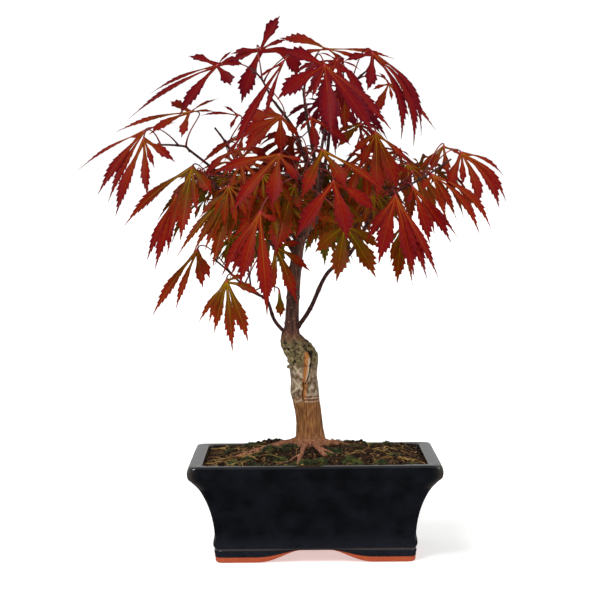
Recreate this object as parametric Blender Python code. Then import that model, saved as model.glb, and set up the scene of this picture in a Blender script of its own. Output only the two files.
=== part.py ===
"""A small Japanese maple with dark red leaves, grown as a bonsai in a glazed rectangular pot.

The pot stands on z = 0 and the finished object is centred over the origin. Sizes are written in
millimetres and turned into metres when a mesh is made.
"""

import math
import random

import bpy
import bmesh
from mathutils import Vector
from mathutils.bvhtree import BVHTree

MM = 0.001
GAP = 0.3
# Triangles thinner than this are taken out after a Boolean.
SLIVER = 0.04
SEED = 11

# Pot, glazed stoneware: a lipped rectangular bowl that flares from a banded foot.
POT_LENGTH = 200.0
POT_DEPTH = 150.0
POT_HEIGHT = 79.0
POT_FOOT_HALF = 79.0
POT_FLOOR_Z = 15.0
FOOT_RECESS = 10.5
FOOT_WALL = 11.0
ARCH_HEIGHT = 9.8
ARCH_HALF_FRONT = 47.0
ARCH_FLAT_FRONT = 12.0
ARCH_HALF_SIDE = 27.0
ARCH_FLAT_SIDE = 8.0
POT_CORNER = 6.0
CORNER_STEPS = 3

# Soil, mounded up to the trunk.
SOIL_TOP = 86.0
SOIL_EDGE = 75.0
SOIL_HALF = 88.0
PLATEAU = 0.24
# Low cushions of moss and earth on the soil, on a loose grid that keeps off the trunk and its roots.
CUSHION_STEP = 21.0
CUSHION_ROW_STEP = 18.0
CUSHION_STRAY = 4.0
CUSHION_HALF = 11.0
CUSHION_LEAST = 4.5
CUSHION_CLEAR = 1.0
CUSHION_HEIGHT = 3.4
CUSHION_SUNK = 1.5
CUSHION_SIDES = 8
# A cushion's outline from its edge up: shares of its half width and of its height.
CUSHION_DOME = [(0.86, 0.35), (0.62, 0.8), (0.3, 1.0)]

# Trunk: x, y, height and radius along its axis, from just under the ground to its tip.
TRUNK_AXIS = [
    (-3.6, 8, 80, 10.6), (-4, 8, 104, 10.4), (-7, 5, 130, 10.9), (-9.3, 3, 151, 10.6),
    (-12, 2, 162, 10.4), (-18, 1, 174, 8.4), (-17.5, 1, 184, 6.0), (-16.6, 1, 204, 5.3),
    (-14, 1, 232, 5.0), (-9.5, 3, 254, 4.2), (2, 5, 270, 3.0), (4.8, 6, 290, 2.4),
    (3, 6, 314, 1.9),
]
TRUNK_SIDES = 12
FLARE = 4.2
FLARE_HEIGHT = 7.0
# Swellings on the trunk: height, compass angle, how far they stand out, half their height.
TRUNK_SWELLINGS = [(156, 0, 3.2, 9), (130, 180, 1.6, 6), (168, 180, 1.5, 6)]
# Surface roots: plan positions from the trunk outwards, and the radius at each end.
ROOTS = [
    ([(-8, 8), (-22, 4), (-38, -3), (-63, -25)], 3.8, 2.2),
    ([(-5, 4), (-8, -9), (-11, -30), (-15, -57)], 3.2, 1.1),
    ([(-3, 4), (1, -8), (4, -18), (9, -33)], 3.2, 1.6),
    ([(2, 8), (13, 6), (20, 2)], 3.4, 1.7),
    ([(-4, 12), (-10, 24), (-24, 40)], 3.4, 1.4),
    ([(0, 12), (8, 22), (26, 31)], 3.0, 1.2),
]

# Boughs: points from inside the trunk to the tip, and the radius at each end.
BOUGHS = {
    "bough_low_right": ([(-17, 1, 177), (-3, -6, 197), (11, -13, 226), (30, -18, 243), (50, -26, 279)],
                        1.9, 1.3),
    "bough_low_left": ([(-18, 1, 173), (-31, -8, 188), (-37, -15, 205), (-46, -20, 211)], 1.6, 1.1),
    "bough_left_high": ([(-13, 2, 238), (-41, -5, 286), (-56, -8, 308), (-66, -10, 326)], 1.4, 1.0),
    "bough_left_mid": ([(-11, 3, 249), (-28, 4, 272), (-63, 9, 298), (-100, 6, 327)], 1.4, 1.0),
    "bough_left_front": ([(-15, 1, 222), (-36, -14, 254), (-58, -22, 276), (-76, -24, 296)], 1.4, 1.0),
    "bough_top_left": ([(5, 6, 296), (-7, 2, 322), (-14, -2, 342), (-30, -12, 364)], 1.7, 1.1),
    "bough_top": ([(3, 6, 311), (0, 5, 330), (-4, 3, 352), (-6, 0, 368)], 1.6, 1.1),
    "bough_top_right": ([(5, 6, 292), (12, 5, 322), (15, 3, 344), (24, 0, 366)], 1.6, 1.1),
    "bough_right_high": ([(5, 6, 284), (24, 0, 311), (34, -5, 324)], 1.4, 1.0),
    "bough_front": ([(-10, 3, 252), (-11, -8, 266), (-11, -20, 280)], 1.6, 1.1),
    "bough_back_top": ([(4.2, 6, 302), (9, 26, 334), (14, 42, 356)], 1.4, 1.0),
    "bough_back_mid": ([(4, 6, 278), (0, 24, 296), (-4, 42, 308)], 1.4, 1.0),
    "bough_back_left": ([(-13, 2, 243), (-36, 26, 280), (-60, 44, 302)], 1.5, 1.0),
    "bough_back_right": ([(-6, 3, 258), (26, 26, 290), (52, 42, 315)], 1.5, 1.0),
    "bough_back_low": ([(-15, 1, 216), (-14, 22, 246), (-12, 40, 262)], 1.5, 1.0),
}

# Leaf: the angle of each lobe from the middle one, and its length as a share of the middle one.
LOBES = [(-112, 0.36), (-68, 0.76), (-33, 0.94), (0, 1.0), (33, 0.94), (68, 0.76), (112, 0.36)]
STATIONS = [(0.30, 0.065), (0.60, 0.12)]
SHORT_STATIONS = [(0.48, 0.13)]
SHORT_LOBE = 0.8
SINUS = 0.13
NOTCH = 0.045
SAG_FLAT = 0.7
SAG_HUNG = 1.3
LEAF_THICK = 0.95
PETIOLE = 34.0
STALK_RADIUS = 0.75
STALK_STEPS = 4
NODE_SPACING = 3.0
STEM_RADIUS = 1.1
STEM_SIDES = 4
CROWN_X = -8.0
CROWN_HALF = 130.0
CROWN_TOP = 398.0
CROWN_FALL = 0.0035
FACE_TURN = 50.0
BACK_FROM = 20.0
# Openings that stay free of grown leaves seen from the front: middle x and z, half width, half height.
OPENINGS = [(-108, 362, 40, 8), (-102, 328, 21, 12), (-150, 255, 18, 30), (-110, 222, 24, 12),
            (-34, 362, 20, 7), (-30, 200, 14, 16), (50, 196, 50, 20), (57, 229, 7, 16),
            (150, 235, 30, 30), (94, 352, 28, 22)]
CLEAR = 0.5
ROOM = 15.0
NEAR_TRIES = 40
GROWN_TRIES = 160

# Foliage: the bough each mass grows from, where its stem leads, the leaves that show from the
# front (hub x, y, z, heading, lean, lobe length and, where it differs from the rule, the way that
# the blade faces) and how many more leaves its stem carries.
MASSES = {
    "foliage_top_left": ("bough_top_left", [(-40, -19, 382), (-50, -22, 392)], [
        (-75, -30, 392, 200, 28, 82, -115), (-41, 6, 407, -30, 76, 74, -95),
        (-23, -60, 391, -150, 62, 80, -160), (-25, -35, 351, -130, 45, 48)], 0),
    "foliage_top_right": ("bough_top_right", [(36, 0, 382), (47, 2, 391)], [
        (49, -15, 401, -35, 62, 84, -25), (63, 15, 379, -15, 45, 58, -35),
        (26, -10, 377, -90, 60, 45)], 2),
    "foliage_top": ("bough_top", [(-4, -6, 383), (2, -12, 394)], [
        (14, -5, 406, 90, 12, 72), (10, -55, 389, -72, 50, 78), (-1, -30, 350, -45, 50, 45)], 2),
    "foliage_left_high": ("bough_left_high", [(-72, -11, 336), (-78, -12, 344)], [
        (-60, -5, 354, 170, 20, 38)], 2),
    "foliage_left_mid": ("bough_left_mid", [(-116, 8, 331), (-126, 8, 331)], [
        (-135, -10, 341, 190, 38, 66, -125), (-134, -20, 334, -120, 65, 66),
        (-98, -18, 356, 190, 26, 50)], 0),
    "foliage_left_front": ("bough_left_front", [(-86, -26, 302), (-94, -28, 304)], [
        (-96, -25, 311, -155, 48, 72), (-108, -35, 289, -120, 65, 62),
        (-62, -40, 295, -130, 60, 72)], 0),
    "foliage_low_left": ("bough_low_left", [(-54, -24, 216), (-68, -30, 230), (-80, -26, 240)], [
        (-93, -20, 245, -140, 60, 65), (-68, -50, 222, -85, 65, 58), (-29, -35, 248, -60, 60, 52)], 0),
    "foliage_front": ("bough_front", [(-10, -32, 295), (-6, -52, 308)], [
        (-41, -85, 275, -95, 60, 78), (-15, -50, 296, -140, 50, 70), (-26, -60, 320, -110, 50, 50),
        (8, -70, 323, -60, 45, 62), (16, -80, 299, -90, 55, 55), (25, -55, 265, -85, 55, 50)], 0),
    "foliage_right_high": ("bough_right_high", [(40, -12, 332), (45, -18, 336)], [
        (50, -40, 337, -85, 60, 58), (38, -20, 345, -150, 45, 34)], 1),
    "foliage_right": ("bough_low_right", [(57, -27, 286), (90, -29, 304), (110, -30, 317)], [
        (64, -65, 287, -70, 65, 70), (79, -45, 294, -35, 60, 62), (79, -20, 307, 0, 30, 40),
        (118, -35, 321, -25, 50, 56), (105, -15, 327, -140, 55, 34), (96, -20, 304, -25, 45, 64),
        (70, -35, 262, -70, 65, 48)], 0),
    "foliage_back_top": ("bough_back_top", [(20, 54, 368), (26, 66, 374)], [], 5),
    "foliage_back_left": ("bough_back_left", [(-74, 55, 306), (-90, 64, 302)], [], 6),
    "foliage_back_right": ("bough_back_right", [(64, 52, 316), (78, 60, 313)], [], 6),
    "foliage_back_low": ("bough_back_low", [(-14, 58, 272), (-16, 76, 277)], [], 7),
    "foliage_back_mid": ("bough_back_mid", [(0, 60, 318), (3, 78, 322)], [], 5),
}


def material(name, colour, roughness):
    """A plain Principled material from an sRGB hex colour."""
    mat = bpy.data.materials.new(name)
    mat.use_nodes = True
    shader = mat.node_tree.nodes["Principled BSDF"]
    parts = [int(colour[i:i + 2], 16) / 255 for i in (0, 2, 4)]
    linear = [c / 12.92 if c <= 0.04045 else ((c + 0.055) / 1.055) ** 2.4 for c in parts]
    shader.inputs["Base Color"].default_value = (*linear, 1)
    shader.inputs["Roughness"].default_value = roughness
    shader.inputs["Metallic"].default_value = 0
    return mat


def add_object(name, verts, faces, mat=None):
    """A mesh object from points in millimetres."""
    mesh = bpy.data.meshes.new(name)
    mesh.from_pydata([tuple(c * MM for c in v) for v in verts], [], faces)
    mesh.validate()
    obj = bpy.data.objects.new(name, mesh)
    bpy.context.scene.collection.objects.link(obj)
    if mat:
        mesh.materials.append(mat)
    return obj


def apply_modifiers(obj):
    """Keep the mesh that the modifiers make, and drop them."""
    graph = bpy.context.evaluated_depsgraph_get()
    mesh = bpy.data.meshes.new_from_object(obj.evaluated_get(graph))
    obj.modifiers.clear()
    obj.data = mesh


def combine(obj, pieces, operation, solver="EXACT"):
    """One Boolean of obj with all the pieces, which are used up by it."""
    group = bpy.data.collections.new(obj.name + "_pieces")
    bpy.context.scene.collection.children.link(group)
    for piece in pieces:
        bpy.context.scene.collection.objects.unlink(piece)
        group.objects.link(piece)
    step = obj.modifiers.new("combine", "BOOLEAN")
    step.operation = operation
    step.operand_type = "COLLECTION"
    step.collection = group
    step.solver = solver
    apply_modifiers(obj)
    for piece in pieces:
        bpy.data.objects.remove(piece)
    bpy.data.collections.remove(group)
    keep_largest(obj)


def neighbours(vert):
    return {edge.other_vert(vert) for edge in vert.link_edges}


def mend_sliver(shape, face):
    """Take one thin triangle out of a closed mesh and keep it closed; False where that can't be done."""
    edges = sorted(face.edges, key=lambda edge: edge.calc_length())
    a, b = edges[0].verts
    if edges[0].calc_length() < 2 * SLIVER * MM and len(neighbours(a) & neighbours(b)) == 2:
        bmesh.ops.pointmerge(shape, verts=[a, b], merge_co=a.co)
        return True
    tips = [vert for side in edges[2].link_faces for vert in side.verts if vert not in edges[2].verts]
    if tips[1] in neighbours(tips[0]):
        return False
    return bmesh.utils.edge_rotate(edges[2]) is not None


def clean(shape):
    """Mend the slivers that a Boolean leaves, the thinnest first."""
    skipped = set()
    while True:
        thin = []
        for face in shape.faces:
            height = 2 * face.calc_area() / max(edge.calc_length() for edge in face.edges)
            key = tuple(sorted(vert.index for vert in face.verts))
            if height < SLIVER * MM and key not in skipped:
                thin.append((height, key, face))
        if not thin:
            return
        _, key, face = min(thin, key=lambda row: row[:2])
        skipped.add(key)
        mend_sliver(shape, face)


def keep_largest(obj):
    """Take out slivers and drop loose scraps, so that one clean closed body is left."""
    for method in ("BEAUTY", "EAR_CLIP"):
        shape = bmesh.new()
        shape.from_mesh(obj.data)
        bmesh.ops.triangulate(shape, faces=shape.faces, ngon_method=method)
        if all(len(edge.link_faces) == 2 for edge in shape.edges):
            break
    shape.verts.index_update()
    clean(shape)
    left = set(shape.verts)
    shells = []
    while left:
        stack = [left.pop()]
        shell = set(stack)
        while stack:
            for edge in stack.pop().link_edges:
                for vert in edge.verts:
                    if vert in left:
                        left.remove(vert)
                        shell.add(vert)
                        stack.append(vert)
        shells.append(shell)
    shells.sort(key=len)
    for shell in shells[:-1]:
        bmesh.ops.delete(shape, geom=list(shell), context="VERTS")
    shape.to_mesh(obj.data)
    shape.free()


def loft(rings):
    """Faces through rings of equal length, with flat caps."""
    count = len(rings[0])
    verts = [p for ring in rings for p in ring]
    faces = []
    for row in range(len(rings) - 1):
        for i in range(count):
            a = row * count + i
            b = row * count + (i + 1) % count
            faces.append((a, b, b + count, a + count))
    faces.append(tuple(reversed(range(count))))
    faces.append(tuple(range(len(verts) - count, len(verts))))
    return verts, faces


def smooth_path(points, steps):
    """A Catmull-Rom curve through the points, of any number of coordinates each."""
    rows = [[2 * a - b for a, b in zip(points[0], points[1])], *points,
            [2 * a - b for a, b in zip(points[-1], points[-2])]]
    path = []
    for i in range(1, len(rows) - 2):
        for step in range(steps):
            t = step / steps
            path.append([
                0.5 * (2 * b + (c - a) * t + (2 * a - 5 * b + 4 * c - d) * t * t
                       + (3 * b - a - 3 * c + d) * t ** 3)
                for a, b, c, d in zip(*rows[i - 1:i + 3])])
    path.append(list(points[-1]))
    return path


def tube_rings(path, sides, radius_at):
    """Rings round a path that don't twist; radius_at(row, angle) gives each point's distance."""
    path = [Vector(p) for p in path]
    rings = []
    side = None
    for row, centre in enumerate(path):
        ahead = (path[min(row + 1, len(path) - 1)] - path[max(row - 1, 0)]).normalized()
        if side is None:
            side = Vector((1, 0, 0)) if abs(ahead.x) < 0.8 else Vector((0, 1, 0))
        side = (side - ahead * side.dot(ahead)).normalized()
        other = ahead.cross(side)
        ring = []
        for i in range(sides):
            angle = 2 * math.pi * i / sides
            ring.append(centre + (side * math.cos(angle) + other * math.sin(angle)) * radius_at(row, angle))
        rings.append(ring)
    return rings


def tube(path, first_radius, last_radius, sides):
    """A tapering limb along a path."""
    step = (last_radius - first_radius) / (len(path) - 1)
    return loft(tube_rings(path, sides, lambda row, _: first_radius + step * row))


def rounded_rect(half_x, half_y, radius, z):
    """A horizontal rectangle with round corners, anticlockwise from above."""
    ring = []
    for quarter, (sx, sy) in enumerate([(1, 1), (-1, 1), (-1, -1), (1, -1)]):
        for step in range(CORNER_STEPS + 1):
            angle = math.pi / 2 * (quarter + step / CORNER_STEPS)
            ring.append((sx * (half_x - radius) + radius * math.cos(angle),
                         sy * (half_y - radius) + radius * math.sin(angle), z))
    return ring


def pot_ring(half_length, z, corner=POT_CORNER):
    """The pot's outline at a height: every level is as much narrower as it is shallower."""
    return rounded_rect(half_length, half_length - (POT_LENGTH - POT_DEPTH) / 2, corner, z)


def cavity_rings(inset=0.0, top=None):
    """The inside of the pot, from its floor up, or a plug that fits it with a gap all round."""
    rows = [(70.5, POT_FLOOR_Z), (72.5, 22), (74.5, 38), (79, 54), (85, 67), (88.3, 76)]
    rings = [pot_ring(half - inset, z + (inset if z == POT_FLOOR_Z else 0)) for half, z in rows]
    if top is not None:
        rings[-1] = pot_ring(SOIL_HALF - inset, top)
    return rings


def arch_cutter(half, flat, length, along_x):
    """The opening between two feet: a flat top that runs down to the ground in a soft double curve."""
    profile = []
    steps = 7
    for i in range(steps + 1):
        t = i / steps
        x = flat + (half - flat) * t
        profile.append((x, ARCH_HEIGHT * (0.5 + 0.5 * math.cos(math.pi * t ** 0.8)) if i < steps else -0.0))
    outline = [(-x, z) for x, z in reversed(profile)] + profile + [(half, -3), (-half, -3)]
    verts = []
    for end in (-length, length):
        verts += [(x, end, z) if not along_x else (end, x, z) for x, z in outline]
    count = len(outline)
    faces = [tuple(range(count)), tuple(reversed(range(count, 2 * count)))]
    faces += [(i, i + count, (i + 1) % count + count, (i + 1) % count) for i in range(count)]
    cutter = add_object("arch_cutter", verts, faces)
    shape = bmesh.new()
    shape.from_mesh(cutter.data)
    bmesh.ops.recalc_face_normals(shape, faces=shape.faces)
    shape.to_mesh(cutter.data)
    shape.free()
    return cutter


def build_pot(glaze):
    """The bowl with its lip, banded foot, open middle underneath and an arch on each side."""
    foot = POT_FOOT_HALF
    outer = [(foot - 1.2, 0), (foot, 1.5), (foot + 0.2, 6), (foot + 0.7, 9.5), (foot + 0.2, 10.6),
             (foot + 1.5, 13), (foot + 1.7, 15.5), (foot + 1.3, 18.6), (foot + 0.7, 22.5),
             (80.7, 31), (82.8, 40.3), (86.1, 49.7), (90.8, 59), (96.2, 65.6), (99.1, 68.6),
             (100, 72.2), (99.6, 76), (98, 78.4), (95.4, POT_HEIGHT)]
    lip = [(90.2, POT_HEIGHT), (88.7, 78.2)]
    rings = [pot_ring(half, z) for half, z in outer + lip]
    rings += list(reversed(cavity_rings()))
    pot = add_object("pot", *loft(rings), glaze)
    under = foot - FOOT_WALL
    recess = add_object("recess", *loft([pot_ring(under, -3), pot_ring(under, FOOT_RECESS)]))
    arches = [arch_cutter(ARCH_HALF_FRONT, ARCH_FLAT_FRONT, POT_DEPTH, False),
              arch_cutter(ARCH_HALF_SIDE, ARCH_FLAT_SIDE, POT_LENGTH, True)]
    combine(pot, [recess, *arches], "DIFFERENCE")
    return pot


def soil_rings(lift=0.0):
    """The plug of soil: the pot's inside, then a mound that rises to a flat place under the trunk."""
    rings = cavity_rings(GAP, SOIL_EDGE + lift)
    edge = rings[-1]
    centre = (TRUNK_AXIS[0][0], TRUNK_AXIS[0][1])
    for share in (0.84, 0.66, 0.48, 0.34, PLATEAU):
        rise = ((1 - share) / (1 - PLATEAU)) ** 1.15
        z = SOIL_EDGE + (SOIL_TOP - SOIL_EDGE) * rise + lift
        rings.append([(centre[0] + (x - centre[0]) * share, centre[1] + (y - centre[1]) * share, z)
                      for x, y, _ in edge])
    return rings


def off_line(place, plan):
    """How far a place lies from a line of points, seen from above."""
    near = []
    for first, second in zip(plan, plan[1:]):
        first = Vector(first)
        along = Vector(second) - first
        share = max(0.0, min(1.0, (place - first).dot(along) / along.length_squared))
        near.append((place - first - along * share).length)
    return min(near)


def cushion_seats():
    """Where the cushions lie and how wide each is: as wide as the roots and the pot's wall leave it."""
    rng = random.Random(SEED)
    half_x = SOIL_HALF - 3 * CUSHION_CLEAR
    half_y = half_x - (POT_LENGTH - POT_DEPTH) / 2
    columns = round(half_x / CUSHION_STEP)
    rows = round(half_y / CUSHION_ROW_STEP)
    trunk = Vector(TRUNK_AXIS[0][:2])
    seats = []
    for row in range(-rows, rows + 1):
        for column in range(-columns, columns + 1):
            place = Vector(((column + row % 2 / 2) * CUSHION_STEP, row * CUSHION_ROW_STEP))
            place += Vector((rng.uniform(-1, 1), rng.uniform(-1, 1))) * CUSHION_STRAY
            room = [CUSHION_HALF * rng.uniform(0.75, 1.0), half_x - abs(place.x), half_y - abs(place.y),
                    (place - trunk).length - TRUNK_AXIS[0][3] - 2 * FLARE]
            room += [off_line(place, plan) - thick - CUSHION_CLEAR for plan, thick, _ in ROOTS]
            if min(room) > CUSHION_LEAST:
                seats.append((place.x, place.y, min(room)))
    return seats


def cushion(seat, soil_tree):
    """A low faceted dome whose edge is sunk in the soil."""
    x, y, half = seat
    height = CUSHION_HEIGHT * math.sqrt(half / CUSHION_HALF)
    rings = []
    for share, rise in [(1.0, -CUSHION_SUNK / height), *CUSHION_DOME]:
        ring = []
        for i in range(CUSHION_SIDES):
            angle = 2 * math.pi * (i + 0.5) / CUSHION_SIDES
            px = x + half * share * math.cos(angle)
            py = y + half * share * math.sin(angle)
            hit = soil_tree.ray_cast(Vector((px * MM, py * MM, 0.2)), Vector((0, 0, -1)))[0]
            ring.append((px, py, hit.z / MM + height * rise))
        rings.append(ring)
    return add_object("cushion", *loft(rings))


def build_soil(earth, soil_tree):
    """The soil with its cushions fused on."""
    soil = add_object("soil", *loft(soil_rings()), earth)
    combine(soil, [cushion(seat, soil_tree) for seat in cushion_seats()], "UNION")
    return soil


def trunk_rings(grow=0.0):
    """The trunk's own shape: taper and lean from its axis, with flare and swellings."""
    path = smooth_path(TRUNK_AXIS, 2)

    def radius_at(row, angle):
        z = path[row][2]
        radius = path[row][3] + grow
        foot = max(z - SOIL_TOP, -6)
        radius += FLARE * math.exp(-foot / FLARE_HEIGHT) * (1 + 0.25 * math.cos(3 * angle + 0.6))
        for height, facing, amount, half in TRUNK_SWELLINGS:
            near = math.exp(-((z - height) / half) ** 2)
            radius += amount * near * max(0.0, math.cos(angle - math.radians(facing))) ** 2
        return radius

    return tube_rings([p[:3] for p in path], TRUNK_SIDES, radius_at)


def build_trunk(bark, soil_tree):
    """The stem and its surface roots, fused, then cut off along the ground."""
    trunk = add_object("trunk", *loft(trunk_rings()), bark)
    roots = []
    for plan, thick, thin in ROOTS:
        route = smooth_path(plan, 2)
        path = []
        for row, (x, y) in enumerate(route):
            share = row / (len(route) - 1)
            radius = thick + (thin - thick) * share
            hit = soil_tree.ray_cast(Vector((x * MM, y * MM, 0.2)), Vector((0, 0, -1)))[0]
            path.append((x, y, hit.z / MM + radius * 0.35 + 3.0 * max(0.0, 1 - 3 * share)))
        roots.append(add_object("root", *tube(path, thick, thin, 6)))
    combine(trunk, roots, "UNION")
    ground = add_object("ground", *loft(soil_rings(GAP)))
    combine(trunk, [ground], "DIFFERENCE")
    return trunk


def build_bough(name, points, first_radius, last_radius, bark):
    """One tapering limb from the trunk's surface to where its foliage starts."""
    sides = 7 if first_radius > 1.6 else 6
    bough = add_object(name, *tube(smooth_path(points, 3), first_radius, last_radius, sides), bark)
    hollow = add_object("trunk_grown", *loft(trunk_rings(GAP)))
    combine(bough, [hollow], "DIFFERENCE")
    return bough


def blade_axes(seat):
    """The middle lobe's direction, the blade's cross direction and its upper normal at the hub."""
    x, y, _, heading, lean, _, *turned = seat
    facing = 90 - FACE_TURN * (x - CROWN_X) / CROWN_HALF
    facing = math.radians(turned[0] if turned else facing if y > BACK_FROM else -facing)
    lean = math.radians(lean)
    normal = Vector((math.sin(lean) * math.cos(facing), math.sin(lean) * math.sin(facing), math.cos(lean)))
    ahead = Vector((math.cos(math.radians(heading)), math.sin(math.radians(heading)), 0))
    ahead = (ahead - normal * ahead.dot(normal)).normalized()
    return ahead, normal.cross(ahead), normal


def stalk_route(start, seat):
    """A leaf stalk from the stem to the blade: it rises, arches over and arrives along the middle lobe."""
    ahead, _, normal = blade_axes(seat)
    end = Vector(seat[:3]) - ahead * seat[5] * NOTCH
    reach = (end - start).length
    first = start + (end - start) * 0.3 + Vector((0, 0, 0.2 * reach))
    second = end - (ahead * 0.85 + normal * 0.3) * 0.35 * reach
    route = []
    for i in range(STALK_STEPS + 1):
        t = i / STALK_STEPS
        route.append(start * (1 - t) ** 3 + first * 3 * t * (1 - t) ** 2
                     + second * 3 * t * t * (1 - t) + end * t ** 3)
    return route


def leaf(seat, start):
    """A palmate leaf and its stalk as one closed piece; also how many of its faces are the blade's.

    The blade is a thin lens of seven pointed lobes. They sag, the more so the steeper the leaf hangs.
    """
    ahead, across, normal = blade_axes(seat)
    hub = Vector(seat[:3])
    span = seat[5]
    sag = SAG_FLAT + SAG_HUNG * math.sin(math.radians(seat[4])) ** 2
    neck = hub - ahead * span * NOTCH
    verts = [hub + normal * LEAF_THICK, hub - normal * 0.3 * LEAF_THICK,
             neck + normal * STALK_RADIUS,
             neck + (across * 0.87 - normal * 0.5) * STALK_RADIUS,
             neck - (across * 0.87 + normal * 0.5) * STALK_RADIUS]
    faces = [(0, 3, 2), (0, 2, 4), (1, 4, 3)]
    rim = [4]
    for (angle, _), (following, _) in zip(LOBES, LOBES[1:]):
        angle = math.radians((angle + following) / 2)
        rim.append(len(verts))
        verts.append(hub + (ahead * math.cos(angle) + across * math.sin(angle)) * span * SINUS)
    rim.append(3)
    for i, (angle, share) in enumerate(LOBES):
        angle = math.radians(angle)
        out = ahead * math.cos(angle) + across * math.sin(angle)
        side = across * math.cos(angle) - ahead * math.sin(angle)
        low, high, middle = rim[i], rim[i + 1], 0
        faces.append((1, high, low))
        point = hub.copy()
        reached = 0.0
        for at, half in [*(SHORT_STATIONS if share < SHORT_LOBE else STATIONS), (1.0, 0.0)]:
            step = (at * share - reached) / 3
            for _ in range(3):
                way = (out - Vector((0, 0, sag * (reached + step / 2)))).normalized()
                point = point + way * step * span
                reached += step
            first = len(verts)
            if at == 1.0:
                verts.append(point)
                faces += [(middle, low, first), (middle, first, high), (low, high, first)]
                continue
            width = side * half * share * span
            verts += [point - width, point + width, point + way.cross(side) * LEAF_THICK]
            faces += [(middle, low, first, first + 2), (middle, first + 2, first + 1, high),
                      (low, high, first + 1, first)]
            low, high, middle = first, first + 1, first + 2
    blade = len(faces)
    route = list(reversed(stalk_route(start, seat)))
    up = normal
    ring = [2, 3, 4]
    for row in range(1, len(route)):
        way = (route[min(row + 1, len(route) - 1)] - route[row - 1]).normalized()
        up = (up - way * up.dot(way)).normalized()
        sideways = way.cross(up)
        following = [len(verts) + k for k in range(3)]
        verts += [route[row] + (up * math.cos(k) + sideways * math.sin(k)) * STALK_RADIUS
                  for k in (0, math.radians(120), math.radians(240))]
        faces += [(ring[k], ring[(k + 1) % 3], following[(k + 1) % 3], following[k]) for k in range(3)]
        ring = following
    faces.append(tuple(ring))
    return verts, faces, blade


def stem_nodes(stem):
    """Points along a stem, each with the way it runs there, where one stalk may start."""
    nodes = []
    spare = NODE_SPACING
    for a, b in zip(stem, stem[1:]):
        way = (b - a).normalized()
        while spare < (b - a).length:
            nodes.append((a + way * spare, way))
            spare += NODE_SPACING
        spare -= (b - a).length
    return nodes


def best_node(nodes, seat):
    """The place on the stem that gives this leaf a stalk nearest to its natural length."""
    hub = Vector(seat[:3])

    def cost(node):
        reach = hub - node[0]
        return abs(reach.length - PETIOLE) + 14 * (1 - node[1].dot(reach.normalized()))

    return min(nodes, key=cost)


def grown_seats(stem, place, count, rng):
    """Ways to seat one more leaf: in opposite pairs at the stem's nodes, the odd one at its tip."""
    last = len(stem) - 1
    node = stem[round(last * (0.25 + 0.7 * (place // 2) / max(1, (count - 1) // 2)))]
    ahead = stem[last] - stem[0]
    turn = 0 if place == count - 1 and count % 2 else (72 if place % 2 else -72)
    seats = []
    for _ in range(GROWN_TRIES):
        heading = math.degrees(math.atan2(ahead.y, ahead.x)) + turn + rng.uniform(-40, 40)
        rise = math.radians(rng.uniform(-35, 50))
        reach = PETIOLE * rng.uniform(0.7, 1.4)
        hub = node + Vector((math.cos(math.radians(heading)) * math.cos(rise),
                             math.sin(math.radians(heading)) * math.cos(rise), math.sin(rise))) * reach
        hub.z = min(hub.z, CROWN_TOP - CROWN_FALL * (hub.x - CROWN_X) ** 2)
        seats.append((*hub, heading, rng.uniform(35, 62), rng.uniform(46, 64)))
    return seats


def near_seats(seat, rng):
    """A leaf's own seat, then places close to it, further and further off, mostly in depth."""
    x, y, z, heading, lean, span, *turned = seat
    seats = [seat]
    for i in range(NEAR_TRIES):
        off = i / NEAR_TRIES
        seats.append((x + rng.uniform(-3, 3), y + rng.uniform(-1, 1) * (8 + 30 * off),
                      z + rng.uniform(-3, 3), heading + rng.uniform(-1, 1) * (8 + 16 * off),
                      lean + rng.uniform(-1, 0.6) * (6 + 20 * off),
                      span * (1 - rng.uniform(0, 0.08 + 0.17 * off)), *turned))
    return seats


def places(stem, front, more, rng):
    """Every leaf's possible seats, in the order in which they are tried."""
    return ([near_seats(seat, rng) for seat in front]
            + [grown_seats(stem, place, more, rng) for place in range(more)])


def touches(verts, faces, trees):
    """Whether a piece, moved a little each way, meets anything that is already there."""
    moves = [Vector((0, 0, 0))]
    moves += [Vector(d) * CLEAR for d in [(1, 0, 0), (-1, 0, 0), (0, 1, 0), (0, -1, 0), (0, 0, 1), (0, 0, -1)]]
    for move in moves:
        tree = tree_of([Vector(v) + move for v in verts], faces)
        if any(tree.overlap(other) for other in trees):
            return True
    return False


def in_opening(verts):
    """Whether any point of a blade lies in one of the crown's openings, seen from the front."""
    return any(((v[0] - x) / half_x) ** 2 + ((v[2] - z) / half_z) ** 2 < 1
               for v in verts for x, z, half_x, half_z in OPENINGS)


def tree_of(verts, faces):
    """A search tree over a piece, in metres, for the tests of what meets what."""
    return BVHTree.FromPolygons([Vector(v) * MM for v in verts], faces)


def stem_of(bough, lead):
    """The stem of a mass, from just past the tip of its bough through the points that lead it."""
    path = [Vector(p) for p in smooth_path(BOUGHS[bough][0], 3)]
    ahead = (path[-1] - path[-2]).normalized()
    tip = path[-1] + ahead * GAP
    return [Vector(p) for p in smooth_path([tip, tip + ahead * 4, *lead], 2)]


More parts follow.
